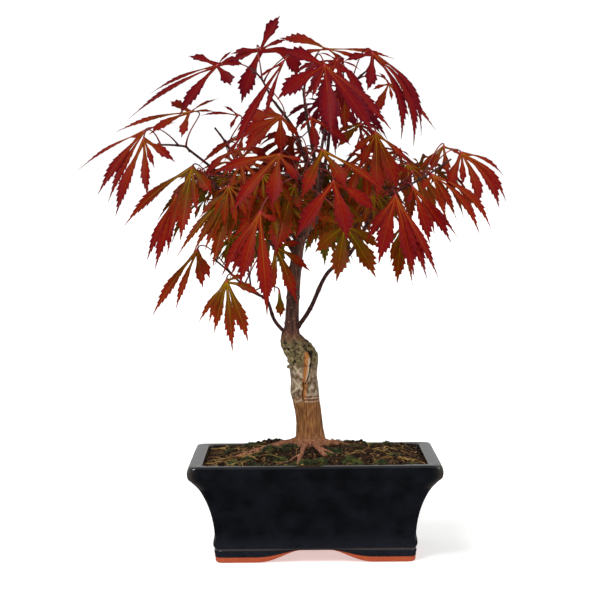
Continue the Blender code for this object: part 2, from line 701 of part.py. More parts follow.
def build_mass(name, stem, front, more, taken, leaf_skin):
    """One mass of foliage: a stem, stalks that branch from it, and their leaves, fused."""
    shapes = [tube(stem, STEM_RADIUS, STALK_RADIUS, STEM_SIDES)]
    mass = add_object(name, *shapes[0], leaf_skin)
    rng = random.Random(f"{name} {SEED}")
    pieces = []
    blades = []
    stalks = [tree_of(*shapes[0])]
    hubs = []
    nodes = stem_nodes(stem)
    for place, ways in enumerate(places(stem, front, more, rng)):
        for seat in ways:
            hub = Vector(seat[:3])
            if any((hub - other).length < ROOM for other in hubs):
                continue
            node = best_node(nodes, seat)
            verts, faces, count = leaf(seat, node[0])
            blade, stalk = faces[:count], faces[count + 3:]
            if place >= len(front) and in_opening(verts):
                continue
            if (touches(verts, faces, [*taken.values(), *blades]) or touches(verts, blade, stalks)
                    or touches(verts, stalk, [tree_of(verts, blade)])):
                continue
            nodes.remove(node)
            hubs.append(hub)
            blades.append(tree_of(verts, blade))
            stalks.append(tree_of(verts, stalk))
            shapes.append((verts, faces))
            pieces.append(add_object("leaf", verts, faces))
            break
    all_verts = []
    all_faces = []
    for verts, faces in shapes:
        all_faces += [tuple(i + len(all_verts) for i in face) for face in faces]
        all_verts += verts
    combine(mass, pieces, "UNION", "MANIFOLD")
    return mass, tree_of(all_verts, all_faces)


def build():
    for obj in list(bpy.data.objects):
        bpy.data.objects.remove(obj)
    glaze = material("dark_glaze", "15171d", 0.12)
    earth = material("potting_soil", "2a1d12", 0.95)
    bark = material("maple_bark", "7d6248", 0.8)
    young_bark = material("young_maple_bark", "4a2420", 0.6)
    leaf_skin = material("maple_leaf", "8a1f1f", 0.5)
    soil_tree = tree_of(*loft(soil_rings()))
    parts = [build_pot(glaze), build_soil(earth, soil_tree)]
    trunk = build_trunk(bark, soil_tree)
    parts.append(trunk)
    graph = bpy.context.evaluated_depsgraph_get()
    taken = {"trunk": BVHTree.FromObject(trunk, graph)}
    for name, (points, thick, thin) in BOUGHS.items():
        bough = build_bough(name, points, thick, thin, young_bark)
        parts.append(bough)
        graph = bpy.context.evaluated_depsgraph_get()
        taken[name] = BVHTree.FromObject(bough, graph)
    stems = {name: stem_of(bough, lead) for name, (bough, lead, _, _) in MASSES.items()}
    for name, stem in stems.items():
        taken[name] = tree_of(*tube(stem, STEM_RADIUS, STALK_RADIUS, STEM_SIDES))
    for name, (_, _, front, more) in MASSES.items():
        del taken[name]
        mass, tree = build_mass(name, stems[name], front, more, taken, leaf_skin)
        parts.append(mass)
        taken[name] = tree
    corners = [v.co for obj in parts for v in obj.data.vertices]
    middle_x = (min(c.x for c in corners) + max(c.x for c in corners)) / 2
    middle_y = (min(c.y for c in corners) + max(c.y for c in corners)) / 2
    for obj in parts:
        obj.location = (-middle_x, -middle_y, 0)
        if not obj.name.startswith("foliage"):
            obj.data.shade_smooth()
            obj.data.set_sharp_from_angle(angle=math.radians(50))


build()
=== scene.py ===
"""The looks of a small dark red Japanese maple, a bonsai in a glazed pot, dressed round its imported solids.

Sizes are in millimetres in the pot's own frame: the ground under the middle of the pot is its origin.
"""

import math
import random
from functools import partial

import bmesh
import bpy
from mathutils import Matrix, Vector, noise
from mathutils.kdtree import KDTree


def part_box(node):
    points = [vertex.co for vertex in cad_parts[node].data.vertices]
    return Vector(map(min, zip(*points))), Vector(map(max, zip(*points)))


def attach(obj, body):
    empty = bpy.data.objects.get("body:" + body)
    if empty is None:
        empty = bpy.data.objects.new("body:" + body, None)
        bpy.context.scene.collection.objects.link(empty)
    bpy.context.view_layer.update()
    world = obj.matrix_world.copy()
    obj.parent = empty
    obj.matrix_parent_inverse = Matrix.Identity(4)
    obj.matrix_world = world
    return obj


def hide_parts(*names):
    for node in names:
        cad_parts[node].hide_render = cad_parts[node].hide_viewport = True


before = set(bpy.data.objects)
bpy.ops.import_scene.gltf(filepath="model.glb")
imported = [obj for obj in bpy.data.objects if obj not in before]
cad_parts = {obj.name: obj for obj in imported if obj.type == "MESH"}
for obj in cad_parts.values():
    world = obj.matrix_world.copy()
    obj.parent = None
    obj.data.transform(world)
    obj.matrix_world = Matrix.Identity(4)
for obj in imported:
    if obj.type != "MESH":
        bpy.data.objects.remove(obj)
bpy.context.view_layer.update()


# Pot. A rectangular bonsai pot of stoneware, slip cast in one piece with its rolled lip, its beaded foot
# band and an arch between the feet on each side. It is glazed near black, down to the bare fired feet.
MM = 0.001
pot_low, pot_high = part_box("pot")
POT_PLACE = Vector(((pot_low.x + pot_high.x) / 2, (pot_low.y + pot_high.y) / 2, 0))
POT_HALF = (pot_high.x - pot_low.x) / 2 / MM
POT_INSET = POT_HALF - (pot_high.y - pot_low.y) / 2 / MM
POT_TOP = pot_high.z / MM
POT_CORNER = 6.0
CORNER_STEPS = 8
SIDE_STEPS = 56
FOOT_HALF = POT_HALF - 21
FOOT_INSIDE = FOOT_HALF - 11
FOOT_RECESS = 10.5
BAND_TOP = 10.6
BARE_CLAY = 4.4
GLAZE_THICK = 0.3
WAVE = 0.22
WAVE_LENGTH = 28.0
ARCH_HEIGHT = 9.8
ARCH_FRONT = (47.0, 12.0)
ARCH_SIDE = (27.0, 8.0)
# Outside of the pot from the foot up over the lip: half the length and the height.
POT_OUTSIDE = [
    (FOOT_HALF - 1.2, 0), (FOOT_HALF, 1.5), (FOOT_HALF + 0.2, 6), (FOOT_HALF + 0.7, 9.5),
    (FOOT_HALF + 0.2, BAND_TOP), (FOOT_HALF + 1.5, 13), (FOOT_HALF + 1.7, 15.5), (FOOT_HALF + 1.3, 18.6),
    (FOOT_HALF + 0.7, 22.5), (POT_HALF - 19.3, 31), (POT_HALF - 17.2, 40.3), (POT_HALF - 13.9, 49.7),
    (POT_HALF - 9.2, 59), (POT_HALF - 3.8, 65.6), (POT_HALF - 0.9, 68.6), (POT_HALF, 72.2),
    (POT_HALF - 0.4, 76), (POT_HALF - 1.6, 78.4), (POT_HALF - 4.6, POT_TOP)]
POT_LIP = [(POT_HALF - 9.8, POT_TOP), (POT_HALF - 11.3, 78.2)]
POT_INSIDE = [(88.3, 76), (85, 67), (79, 54), (74.5, 38), (72.5, 22), (70.5, 15)]


def linear(colour):
    """An sRGB hex colour as linear light, with alpha."""
    parts = [int(colour[i:i + 2], 16) / 255 for i in (0, 2, 4)]
    return (*[c / 12.92 if c <= 0.04045 else ((c + 0.055) / 1.055) ** 2.4 for c in parts], 1)


def new_material(name, colour, **sockets):
    """A Principled material, its even values on the shader's own sockets, such as Coat_Weight=1."""
    mat = bpy.data.materials.new(name)
    mat.use_nodes = True
    shader = mat.node_tree.nodes["Principled BSDF"]
    shader.inputs["Base Color"].default_value = linear(colour)
    for socket, value in sockets.items():
        shader.inputs[socket.replace("_", " ")].default_value = value
    return mat, shader


def add_node(mat, kind, settings=(), links=()):
    """Add a shader node, set its properties and inputs, and feed its inputs from other outputs."""
    node = mat.node_tree.nodes.new("ShaderNode" + kind)
    for key, value in dict(settings).items():
        if key == "stops":
            ramp = node.color_ramp.elements
            while len(ramp) < len(value):
                ramp.new(0.5)
            for stop, (place, colour) in zip(ramp, value):
                stop.position = place
                stop.color = linear(colour)
        elif isinstance(key, int) or key in node.inputs:
            node.inputs[key].default_value = value
        else:
            setattr(node, key, value)
    for key, output in dict(links).items():
        mat.node_tree.links.new(output, node.inputs[key])
    return node


def per_mm(size):
    """The scale that gives a pattern features of this many millimetres in object coordinates."""
    return 1 / (size * MM)


def mixed(mat, factor, first, second):
    """Two colours, each a hex string or an output, mixed by a factor from another node."""
    settings = {"data_type": "RGBA"}
    links = {0: factor}
    for key, colour in ((6, first), (7, second)):
        if isinstance(colour, str):
            settings[key] = linear(colour)
        else:
            links[key] = colour
    return add_node(mat, "Mix", settings, links).outputs[2]


def grained(mat, place, size, stops, upright=None, **settings):
    """The colour and the height of a noise whose grains have this size, and upright another, in mm."""
    if upright:
        stretch = {"Scale": (1, 1, size / upright)}
        place = add_node(mat, "Mapping", stretch, {"Vector": place}).outputs["Vector"]
    grain = add_node(mat, "TexNoise", {"Scale": per_mm(size), **settings}, {"Vector": place}).outputs["Fac"]
    return add_node(mat, "ValToRGB", {"stops": stops}, {"Fac": grain}).outputs["Color"], grain


def dressed(mat, shader, colour, height=None, strength=0.5, depth=0.2):
    """The material with its colour and, where a height is given, a relief of this depth in millimetres."""
    mat.node_tree.links.new(colour, shader.inputs["Base Color"])
    if height is not None:
        bump = add_node(mat, "Bump", {"Strength": strength, "Distance": depth * MM}, {"Height": height})
        mat.node_tree.links.new(bump.outputs["Normal"], shader.inputs["Normal"])
    return mat


def add_piece(name, verts, faces, mats, slot, nodes=(), face_mats=None, values=None, sharp=50):
    """A mesh in millimetres of the pot's frame that rides on the plant and replaces the nodes named."""
    mesh = bpy.data.meshes.new(name)
    mesh.from_pydata([Vector(v) * MM + POT_PLACE for v in verts], [], faces)
    for mat in mats:
        mesh.materials.append(mat)
    if face_mats:
        mesh.polygons.foreach_set("material_index", face_mats)
    for key, row in (values or {}).items():
        mesh.attributes.new(key, "FLOAT", "POINT").data.foreach_set("value", row)
    mesh.shade_smooth()
    mesh.set_sharp_from_angle(angle=math.radians(sharp))
    piece = bpy.data.objects.new(name, mesh)
    bpy.context.scene.collection.objects.link(piece)
    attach(piece, "root")
    if nodes:
        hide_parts(*nodes)
    return piece


def smooth_path(points, steps):
    """A Catmull-Rom curve through points of any number of coordinates."""
    rows = [[2 * a - b for a, b in zip(points[0], points[1])], *points,
            [2 * a - b for a, b in zip(points[-1], points[-2])]]
    path = []
    for i in range(1, len(rows) - 2):
        for step in range(steps):
            t = step / steps
            path.append([
                0.5 * (2 * b + (c - a) * t + (2 * a - 5 * b + 4 * c - d) * t * t
                       + (3 * b - a - 3 * c + d) * t ** 3)
                for a, b, c, d in zip(*rows[i - 1:i + 3])])
    path.append(list(points[-1]))
    return path


def loft(rings):
    """Points and faces through rings of equal length, closed with a flat cap at each end."""
    count = len(rings[0])
    verts = [p for ring in rings for p in ring]
    faces = []
    for row in range(len(rings) - 1):
        for i in range(count):
            a = row * count + i
            b = row * count + (i + 1) % count
            faces.append((a, b, b + count, a + count))
    faces.append(tuple(reversed(range(count))))
    faces.append(tuple(range(len(verts) - count, len(verts))))
    return verts, faces


def pot_outline(half, z):
    """The pot's outline at one level, anticlockwise: each round corner, then the straight side after it."""
    half_y = half - POT_INSET
    corners = []
    for quarter, (sx, sy) in enumerate([(1, 1), (-1, 1), (-1, -1), (1, -1)]):
        corner = []
        for step in range(CORNER_STEPS + 1):
            angle = math.pi / 2 * (quarter + step / CORNER_STEPS)
            corner.append((sx * (half - POT_CORNER) + POT_CORNER * math.cos(angle),
                           sy * (half_y - POT_CORNER) + POT_CORNER * math.sin(angle), z))
        corners.append(corner)
    ring = []
    for corner, following in zip(corners, corners[1:] + corners[:1]):
        ring += corner
        start, end = Vector(corner[-1]), Vector(following[0])
        ring += [tuple(start.lerp(end, step / SIDE_STEPS)) for step in range(1, SIDE_STEPS)]
    return ring


def arch(x, y, half):
    """Height of the pot's lower edge: flat over the middle of a side, down to the feet in a double curve."""
    along_front = abs(y) / (half - POT_INSET) > abs(x) / half
    reach, flat = ARCH_FRONT if along_front else ARCH_SIDE
    t = (abs(x if along_front else y) - flat) / (reach - flat)
    t = min(max(t, 0.0), 1.0)
    return ARCH_HEIGHT * (0.5 + 0.5 * math.cos(math.pi * t ** 0.8))


def over_arch(ring, half, top):
    """A ring of the foot, squeezed up over the arches and unchanged from top upwards."""
    lifted = []
    for x, y, z in ring:
        low = arch(x, y, half)
        lifted.append((x, y, low + z * (top - low) / top if z < top else z))
    return lifted


def build_pot():
    """The whole pot as one closed skin, from the recess underneath over the lip to the floor inside."""
    glazed = [row for row in smooth_path(POT_OUTSIDE, 4) if row[1] > BARE_CLAY]
    bare = [row for row in smooth_path(POT_OUTSIDE, 4) if row[1] <= BARE_CLAY]
    edge = glazed[0][0]
    under = [(20, FOOT_RECESS), (FOOT_INSIDE - 0.8, FOOT_RECESS), (FOOT_INSIDE, FOOT_RECESS - 0.8),
             (FOOT_INSIDE, 5), (FOOT_INSIDE + 0.6, 0.6), (FOOT_INSIDE + 1.4, 0)]
    rows = under + bare + [(edge - 0.05, BARE_CLAY), (edge + GLAZE_THICK, BARE_CLAY + 0.35)]
    clay_rows = len(rows) - 2
    rows += [(half + (GLAZE_THICK if z < BAND_TOP else 0), z) for half, z in glazed if z > BARE_CLAY + 0.5]
    lip_row = len(rows)
    rows += smooth_path(POT_LIP + POT_INSIDE, 3)
    rings = []
    for half, z in rows:
        ring = pot_outline(half, z)
        if z < BAND_TOP:
            ring = over_arch(ring, half, BAND_TOP)
        rings.append(ring)
    verts, faces = loft(rings)
    count = len(rings[0])
    # This mask is glaze break at the lip's inner edge and the upper corners, and a painted highlight along
    # the top of the foot band.
    thin = []
    for number, (x, y, z) in enumerate(verts):
        row = number // count
        half, level = rows[row]
        at_lip = math.exp(-((row - lip_row - 2) / 1.3) ** 2)
        band_highlight = math.exp(-((level - BAND_TOP) / 0.5) ** 2)
        corner = math.exp(-((abs(x) - half + 2) / 3) ** 2 - ((abs(y) - half + POT_INSET + 2) / 3) ** 2)
        thin.append(min(1.0, 0.9 * at_lip + 0.7 * band_highlight + 0.35 * corner * (z > 60)))
    # A cast and fired side is never quite flat: the wave bends what the glaze mirrors.
    verts = [Vector(v) + Vector((v[0], v[1], 0)).normalized() * WAVE * noise.noise(Vector(v) / WAVE_LENGTH)
             for v in verts]
    clay_faces = clay_rows * count
    face_mats = [1 if number < clay_faces else 0 for number in range(len(faces))]
    face_mats[-2:] = [1, 0]
    return verts, faces, face_mats, {"thin_glaze": thin}


def black_glaze():
    """Glossy stoneware glaze, dipped and fired: near black, blue in its depth, browner where it ran thin,
    with a painted highlight on the foot band.
    """
    mat, shader = new_material("black_stoneware_glaze", "0b0c10", Roughness=0.07, IOR=1.52)
    place = add_node(mat, "TexCoord").outputs["Object"]
    thin = add_node(mat, "Attribute", {"attribute_name": "thin_glaze"}).outputs["Fac"]
    body, _ = grained(mat, place, 16, [(0.35, "08090c"), (0.68, "13151b")], Detail=4)
    # The glaze ran down the foot band and stands there in faint wavy bars, about 5 mm apart.
    stretch = add_node(mat, "Mapping", {"Scale": (1, 1, 2.6)}, {"Vector": place}).outputs["Vector"]
    runs = add_node(mat, "TexNoise", {"Scale": per_mm(5), "Detail": 2, "Distortion": 0.8},
                    {"Vector": stretch})
    height = add_node(mat, "SeparateXYZ", {}, {"Vector": place}).outputs["Z"]
    band = add_node(mat, "MapRange", {"From Min": 24 * MM, "From Max": 12 * MM}, {"Value": height})
    bars = add_node(mat, "Math", {"operation": "MULTIPLY"}, {0: runs.outputs["Fac"], 1: band.outputs[0]})
    colour = mixed(mat, bars.outputs[0], body, "23252e")
    # Pale brown grey where the glaze ran thin over the lip's inner edge and the upper corners, and in the
    # same colour a painted highlight along the top of the foot band.
    glaze_break_and_highlight = add_node(mat, "Math", {"operation": "MULTIPLY", 1: 0.75}, {0: thin})
    colour = mixed(mat, glaze_break_and_highlight.outputs[0], colour, "6b6258")
    # Fine orange peel, 1.5 mm across.
    peel = add_node(mat, "TexNoise", {"Scale": per_mm(1.5), "Detail": 1}, {"Vector": place})
    return dressed(mat, shader, colour, peel.outputs["Fac"], 0.06, 0.1)


def bare_stoneware():
    """Fired red clay, wiped clean of glaze: matt and sandy, with darker stains."""
    mat, shader = new_material("fired_red_clay", "b5502e", Roughness=0.85, Specular_IOR_Level=0.25)
    place = add_node(mat, "TexCoord").outputs["Object"]
    grit, sand = grained(mat, place, 0.9, [(0.3, "8a3a22"), (0.52, "b9532f"), (0.75, "cf7048")],
                         Detail=4, Roughness=0.7)
    stain = add_node(mat, "TexNoise", {"Scale": per_mm(9), "Detail": 3}, {"Vector": place})
    colour = mixed(mat, stain.outputs["Fac"], grit, "a4482a")
    return dressed(mat, shader, colour, sand, 0.5, 0.2)


pot_verts, pot_faces, pot_mats, pot_values = build_pot()
add_piece("glazed_pot", pot_verts, pot_faces, [black_glaze(), bare_stoneware()], "dark_glaze", ["pot"],
          pot_mats, pot_values)


# Soil. A gritty potting mix, pressed into the pot and mounded up to the trunk. Crumbs of it lie loose on
# top, and straw fibres, bark chips and cushions of moss have settled among them.
SOIL_EDGE = 75.0
SOIL_TOP = 86.0
PLATEAU = 0.24
TRUNK_FOOT = (-3.6, 8.0)
SOIL_HALF = POT_HALF - 12.3
SOIL_CELL = 1.5
# Sides of the soil from the lip to the pot's floor, just clear of the pot: half the length, height.
SOIL_SIDES = [(84.7, 66), (78.7, 54), (72.2, 22), (69.9, 15.3)]
# Low cushions of moss and earth: the source seats them by the same rule, on a loose grid off the roots.
CUSHION_STEP = 21.0
CUSHION_ROW_STEP = 18.0
CUSHION_STRAY = 4.0
CUSHION_HALF = 11.0
CUSHION_LEAST = 4.5
CUSHION_CLEAR = 1.0
CUSHION_HEIGHT = 3.4
FOOT_RADIUS = 19.0
# Surface roots, which the soil lies round: plan positions from the trunk outwards, the radius at each end.
ROOTS = [
    ([(-8, 8), (-22, 4), (-38, -3), (-63, -25)], 3.8, 2.2),
    ([(-5, 4), (-8, -9), (-11, -30), (-15, -57)], 3.2, 1.1),
    ([(-3, 4), (1, -8), (4, -18), (9, -33)], 3.2, 1.6),
    ([(2, 8), (13, 6), (20, 2)], 3.4, 1.7),
    ([(-4, 12), (-10, 24), (-24, 40)], 3.4, 1.4),
    ([(0, 12), (8, 22), (26, 31)], 3.0, 1.2)]
CRUMBS = 2600
FIBRES = 150
# Cushions of moss: x, y and how far they spread. The front and the sides of the roots have the most.
MOSS = [(-22, -6, 11), (-38, -18, 9), (-52, -34, 8), (-30, -38, 9), (-66, -44, 8), (-8, -46, 8), (14, -20, 9),
        (22, 20, 8), (18, 38, 7), (32, -6, 8), (2, -52, 9), (30, -50, 9), (52, -56, 7), (-24, 30, 10),
        (-52, 22, 9), (6, 44, 9), (48, 26, 8), (66, -12, 7), (-70, 6, 7), (-18, -56, 9), (-44, -56, 8),
        (60, 44, 7), (-68, 44, 7), (76, -44, 6)]


def mound(x, y):
    """Height of the soil without its relief: level along the pot's wall and highest under the trunk."""
    cx, cy = TRUNK_FOOT
    half_y = SOIL_HALF - POT_INSET
    share = max((x - cx) / (SOIL_HALF - cx), (cx - x) / (SOIL_HALF + cx),
                (y - cy) / (half_y - cy), (cy - y) / (half_y + cy))
    rise = max(0.0, (1 - max(share, PLATEAU)) / (1 - PLATEAU)) ** 1.15
    return SOIL_EDGE + (SOIL_TOP - SOIL_EDGE) * rise


def off_line(place, plan):
    """How far a place lies from a line of points, both in one plane: from above or from the front."""
    near = []
    for first, second in zip(plan, plan[1:]):
        first = Vector(first)
        run = Vector(second) - first
        share = max(0.0, min(1.0, (place - first).dot(run) / run.length_squared))
        near.append((place - first - run * share).length)
    return min(near)


def cushion_seats():
    """Where the cushions lie and how wide each is: as wide as the roots and the pot's wall leave it."""
    rng = random.Random(11)
    half_x = SOIL_HALF + 0.3 - 3 * CUSHION_CLEAR
    half_y = half_x - POT_INSET
    columns = round(half_x / CUSHION_STEP)
    rows = round(half_y / CUSHION_ROW_STEP)
    seats = []
    for row in range(-rows, rows + 1):
        for column in range(-columns, columns + 1):
            place = Vector(((column + row % 2 / 2) * CUSHION_STEP, row * CUSHION_ROW_STEP))
            place += Vector((rng.uniform(-1, 1), rng.uniform(-1, 1))) * CUSHION_STRAY
            room = [CUSHION_HALF * rng.uniform(0.75, 1.0), half_x - abs(place.x), half_y - abs(place.y),
                    (place - Vector(TRUNK_FOOT)).length - FOOT_RADIUS]
            room += [off_line(place, plan) - thick - CUSHION_CLEAR for plan, thick, _ in ROOTS]
            if min(room) > CUSHION_LEAST:
                seats.append((place.x, place.y, min(room)))
    return seats


def ground(x, y):
    """Height of the soil's surface, with its cushions and its lumps."""
    rise = 0.0
    for cx, cy, half in cushions:
        share = math.hypot(x - cx, y - cy) / half
        if share < 1:
            rise = max(rise, CUSHION_HEIGHT * math.sqrt(half / CUSHION_HALF) * (1 - share ** 2.6) ** 0.9)
    lumps = noise.turbulence(Vector((x, y, 0)) / 11, 3, False)
    rough = 2.2 * (lumps - 0.35) * (1 - 0.6 * rise / CUSHION_HEIGHT)
    return mound(x, y) + rise + rough + 0.9 * noise.noise(Vector((x, y, 5)) / 2.6)


cushions = cushion_seats()


def build_soil():
    """A grid over the pot's mouth with a skirt that follows the pot's inside down to its floor."""
    half_y = SOIL_HALF - POT_INSET
    columns = round(2 * SOIL_HALF / SOIL_CELL)
    rows = round(2 * half_y / SOIL_CELL)
    verts = []
    for j in range(rows + 1):
        for i in range(columns + 1):
            x = SOIL_HALF * (2 * i / columns - 1)
            y = half_y * (2 * j / rows - 1)
            over = Vector((max(0.0, abs(x) - SOIL_HALF + POT_CORNER), max(0.0, abs(y) - half_y + POT_CORNER)))
            if over.length > POT_CORNER:
                x -= math.copysign(over.x * (1 - POT_CORNER / over.length), x)
                y -= math.copysign(over.y * (1 - POT_CORNER / over.length), y)
            verts.append((x, y, ground(x, y)))
    wide = columns + 1
    faces = [(a, a + 1, a + 1 + wide, a + wide)
             for j in range(rows) for a in range(j * wide, j * wide + columns)]
    rim = ([i for i in range(columns)] + [columns + j * wide for j in range(rows)]
           + [rows * wide + i for i in range(columns, 0, -1)] + [j * wide for j in range(rows, 0, -1)])
    last = SOIL_HALF
    for reach, z in SOIL_SIDES:
        scale = reach / last
        scale_y = (reach - POT_INSET) / (last - POT_INSET)
        ring = list(range(len(verts), len(verts) + len(rim)))
        verts += [(verts[number][0] * scale, verts[number][1] * scale_y, z) for number in rim]
        for k, number in enumerate(rim):
            following = (k + 1) % len(rim)
            faces.append((number, ring[k], ring[following], rim[following]))
        rim = ring
        last = reach
    faces.append(tuple(reversed(rim)))
    return verts, faces


def lump_shape(rng):
    """A small angular crumb of about unit radius: twelve points of an icosahedron, pulled about."""
    shape = bmesh.new()
    bmesh.ops.create_icosphere(shape, subdivisions=1, radius=1.0)
    verts = [v.co * rng.uniform(0.7, 1.25) for v in shape.verts]
    faces = [tuple(v.index for v in face.verts) for face in shape.faces]
    shape.free()
    return verts, faces


def gather(shapes):
    """One list of points and one of faces from several shapes."""
    verts = []
    faces = []
    for more_verts, more_faces in shapes:
        faces += [tuple(i + len(verts) for i in face) for face in more_faces]
        verts += more_verts
    return verts, faces


def in_pot(rng, margin=3.0):
    """A random place on the soil."""
    reach = SOIL_HALF - margin
    return rng.uniform(-reach, reach), rng.uniform(-reach + POT_INSET, reach - POT_INSET)


def crumbs(rng):
    """Loose crumbs of soil and grit, most of them under 2 mm."""
    shapes = []
    for _ in range(CRUMBS):
        x, y = in_pot(rng, 1.5)
        size = 0.55 + 1.5 * rng.random() ** 3
        verts, faces = lump_shape(rng)
        squash = Vector((rng.uniform(0.7, 1.2), rng.uniform(0.7, 1.2), rng.uniform(0.5, 0.9)))
        turn = rng.uniform(0, 2 * math.pi)
        centre = Vector((x, y, ground(x, y) + 0.25 * size))
        moved = []
        for v in verts:
            v = Vector((v.x * squash.x, v.y * squash.y, v.z * squash.z)) * size
            moved.append(centre + Vector((v.x * math.cos(turn) - v.y * math.sin(turn),
                                          v.x * math.sin(turn) + v.y * math.cos(turn), v.z)))
        shapes.append((moved, faces))
    return gather(shapes)


def tube_rings(path, sides, radius_at):
    """Rings round a path that don't twist; radius_at(row, angle) gives each point's distance."""
    path = [Vector(p) for p in path]
    rings = []
    side = None
    for row, centre in enumerate(path):
        ahead = (path[min(row + 1, len(path) - 1)] - path[max(row - 1, 0)]).normalized()
        if side is None:
            side = Vector((1, 0, 0)) if abs(ahead.x) < 0.8 else Vector((0, 1, 0))
        side = (side - ahead * side.dot(ahead)).normalized()
        other = ahead.cross(side)
        rings.append([centre + (side * math.cos(angle) + other * math.sin(angle)) * radius_at(row, angle)
                      for angle in (2 * math.pi * i / sides for i in range(sides))])
    return rings


def fibres(rng):
    """Dry straw and root fibres: thin bent stalks that lie across the crumbs, thickest at the sides."""
    shapes = []
    for _ in range(FIBRES):
        x, y = in_pot(rng)
        if abs(x) < 34 and rng.random() < 0.7:
            x = math.copysign(rng.uniform(36, 84), x)
        length = rng.uniform(7, 30) * (1 if abs(x) > 34 else 0.6)
        heading = rng.uniform(0, 2 * math.pi)
        bend = rng.uniform(-0.9, 0.9)
        lift = rng.uniform(0.3, 2.6)
        tilt = rng.uniform(-1, 2.2)
        path = []
        for step in range(9):
            t = step / 8
            way = heading + bend * (t - 0.5)
            px = x + math.cos(way) * length * (t - 0.5)
            py = y + math.sin(way) * length * (t - 0.5)
            px = max(-SOIL_HALF + 1.5, min(SOIL_HALF - 1.5, px))
            py = max(-SOIL_HALF + POT_INSET + 1.5, min(SOIL_HALF - POT_INSET - 1.5, py))
            path.append((px, py, mound(px, py) + 0.6 + lift * math.sin(math.pi * t) + tilt * t))
        thick = rng.uniform(0.22, 0.5)
        shapes.append(loft(tube_rings(path, 5, lambda row, _: thick * (1 - 0.5 * abs(row / 4 - 1)))))
    return gather(shapes)


def moss(rng):
    """Cushion moss: low domes crowded with upright shoots, each a narrow pointed spike."""
    shapes = []
    for cx, cy, spread in MOSS:
        for _ in range(int(11 * spread)):
            away = spread * math.sqrt(rng.random())
            round_ = rng.uniform(0, 2 * math.pi)
            x = cx + away * math.cos(round_)
            y = cy + away * math.sin(round_) * 0.8
            if abs(x) > SOIL_HALF - 2 or abs(y) > SOIL_HALF - POT_INSET - 2:
                continue
            dome = 1.6 * (1 - (away / spread) ** 2)
            foot = Vector((x, y, ground(x, y) - 0.4 + dome))
            for _ in range(7):
                lean = Vector((rng.uniform(-1, 1), rng.uniform(-1, 1), 0)) * 0.8
                tip = foot + (Vector((0, 0, 1)) + lean) * rng.uniform(1.0, 2.2)
                width = rng.uniform(0.25, 0.42)
                turn = rng.uniform(0, 2 * math.pi)
                base = [foot + lean * 0.4 + Vector((math.cos(turn + k), math.sin(turn + k), 0)) * width
                        for k in (0, 2.1, 4.2)]
                shapes.append(([*base, tip], [(0, 1, 3), (1, 2, 3), (2, 0, 3), (2, 1, 0)]))
    return gather(shapes)


def potting_mix():
    """Damp peat and bark compost: dark brown clods, near black in patches, with paler dry grains."""
    mat, shader = new_material("potting_compost", "2c1c12", Roughness=0.95, Specular_IOR_Level=0.2)
    place = add_node(mat, "TexCoord").outputs["Object"]
    earth, _ = grained(mat, place, 4, [(0.3, "120b07"), (0.5, "2f1e13"), (0.72, "573d26")],
                       Detail=5, Roughness=0.7)
    grain = add_node(mat, "TexVoronoi", {"Scale": per_mm(1.6)}, {"Vector": place})
    chance = add_node(mat, "SeparateXYZ", {}, {"Vector": grain.outputs["Color"]}).outputs["X"]
    pale = add_node(mat, "ValToRGB", {"stops": [(0.9, "000000"), (0.97, "ffffff")]}, {"Fac": chance})
    colour = mixed(mat, pale.outputs["Color"], earth, "86683f")
    return dressed(mat, shader, colour, grain.outputs["Distance"], 0.9, 0.6)


def dry_straw():
    """Dry straw and rootlets: golden tan with a faint shine, browner along some stalks."""
    mat, shader = new_material("dry_straw", "b08a4a", Roughness=0.55, Specular_IOR_Level=0.35)
    place = add_node(mat, "TexCoord").outputs["Object"]
    colour, _ = grained(mat, place, 14, [(0.36, "5a3b1c"), (0.5, "a0763c"), (0.66, "d3b06a")], Detail=3)
    return dressed(mat, shader, colour)


def cushion_moss():
    """Living cushion moss: deep green to yellow green in patches, matt and soft."""
    mat, shader = new_material("cushion_moss", "3f4f17", Roughness=0.8, Sheen_Weight=0.2)
    place = add_node(mat, "TexCoord").outputs["Object"]
    colour, _ = grained(mat, place, 7, [(0.34, "1c2609"), (0.52, "3a4a14"), (0.7, "77802a")], Detail=4)
    return dressed(mat, shader, colour)


soil_skin = potting_mix()
add_piece("soil_bed", *build_soil(), [soil_skin], "potting_soil", ["soil"])
add_piece("soil_crumbs", *crumbs(random.Random("crumbs")), [soil_skin], "potting_soil", sharp=20)
add_piece("straw_fibres", *fibres(random.Random("fibres")), [dry_straw()], "potting_soil")
add_piece("moss_cushions", *moss(random.Random("moss")), [cushion_moss()], "potting_soil", sharp=20)


# Trunk. One stem of living wood, about 20 mm thick at the foot, that leans left and then stands up. The
# top was grafted on: the healed cut is a long groove with a raised rib. The bark is thin and grows with it.
TRUNK_AXIS = [
    (-3.6, 8, 80, 10.6), (-4, 8, 104, 10.4), (-7, 5, 130, 10.9), (-9.3, 3, 151, 10.6),
    (-12, 2, 162, 10.4), (-18, 1, 174, 8.4), (-17.5, 1, 184, 6.0), (-16.6, 1, 204, 5.3),
    (-14, 1, 232, 5.0), (-9.5, 3, 254, 4.2), (2, 5, 270, 3.0), (4.8, 6, 290, 2.4),
    (3, 6, 314, 1.9)]
TRUNK_SIDES = 40
FLARE = 4.2
FLARE_HEIGHT = 7.0
# Swellings on the trunk: height, compass angle, how far they stand out, half their height.
TRUNK_SWELLINGS = [(156, 0, 3.2, 9), (130, 180, 1.6, 6), (168, 180, 1.5, 6)]
# Thin side roots that dip in and out of the soil.
ROOTLETS = [
    ([(14, 5), (30, 8), (44, -4), (54, -18)], 1.1, 0.6), ([(-30, 0), (-40, 12), (-58, 16)], 1.2, 0.6),
    ([(-12, -34), (-24, -44), (-36, -47)], 0.9, 0.5), ([(5, -20), (16, -26), (24, -38)], 1.0, 0.5),
    ([(-46, -10), (-58, -8), (-72, -14)], 1.2, 0.6)]
STUB = [(-14, -3, 150), (-18.6, -5, 150.8), (-21.4, -6, 150.4)]
VOXEL = 0.6
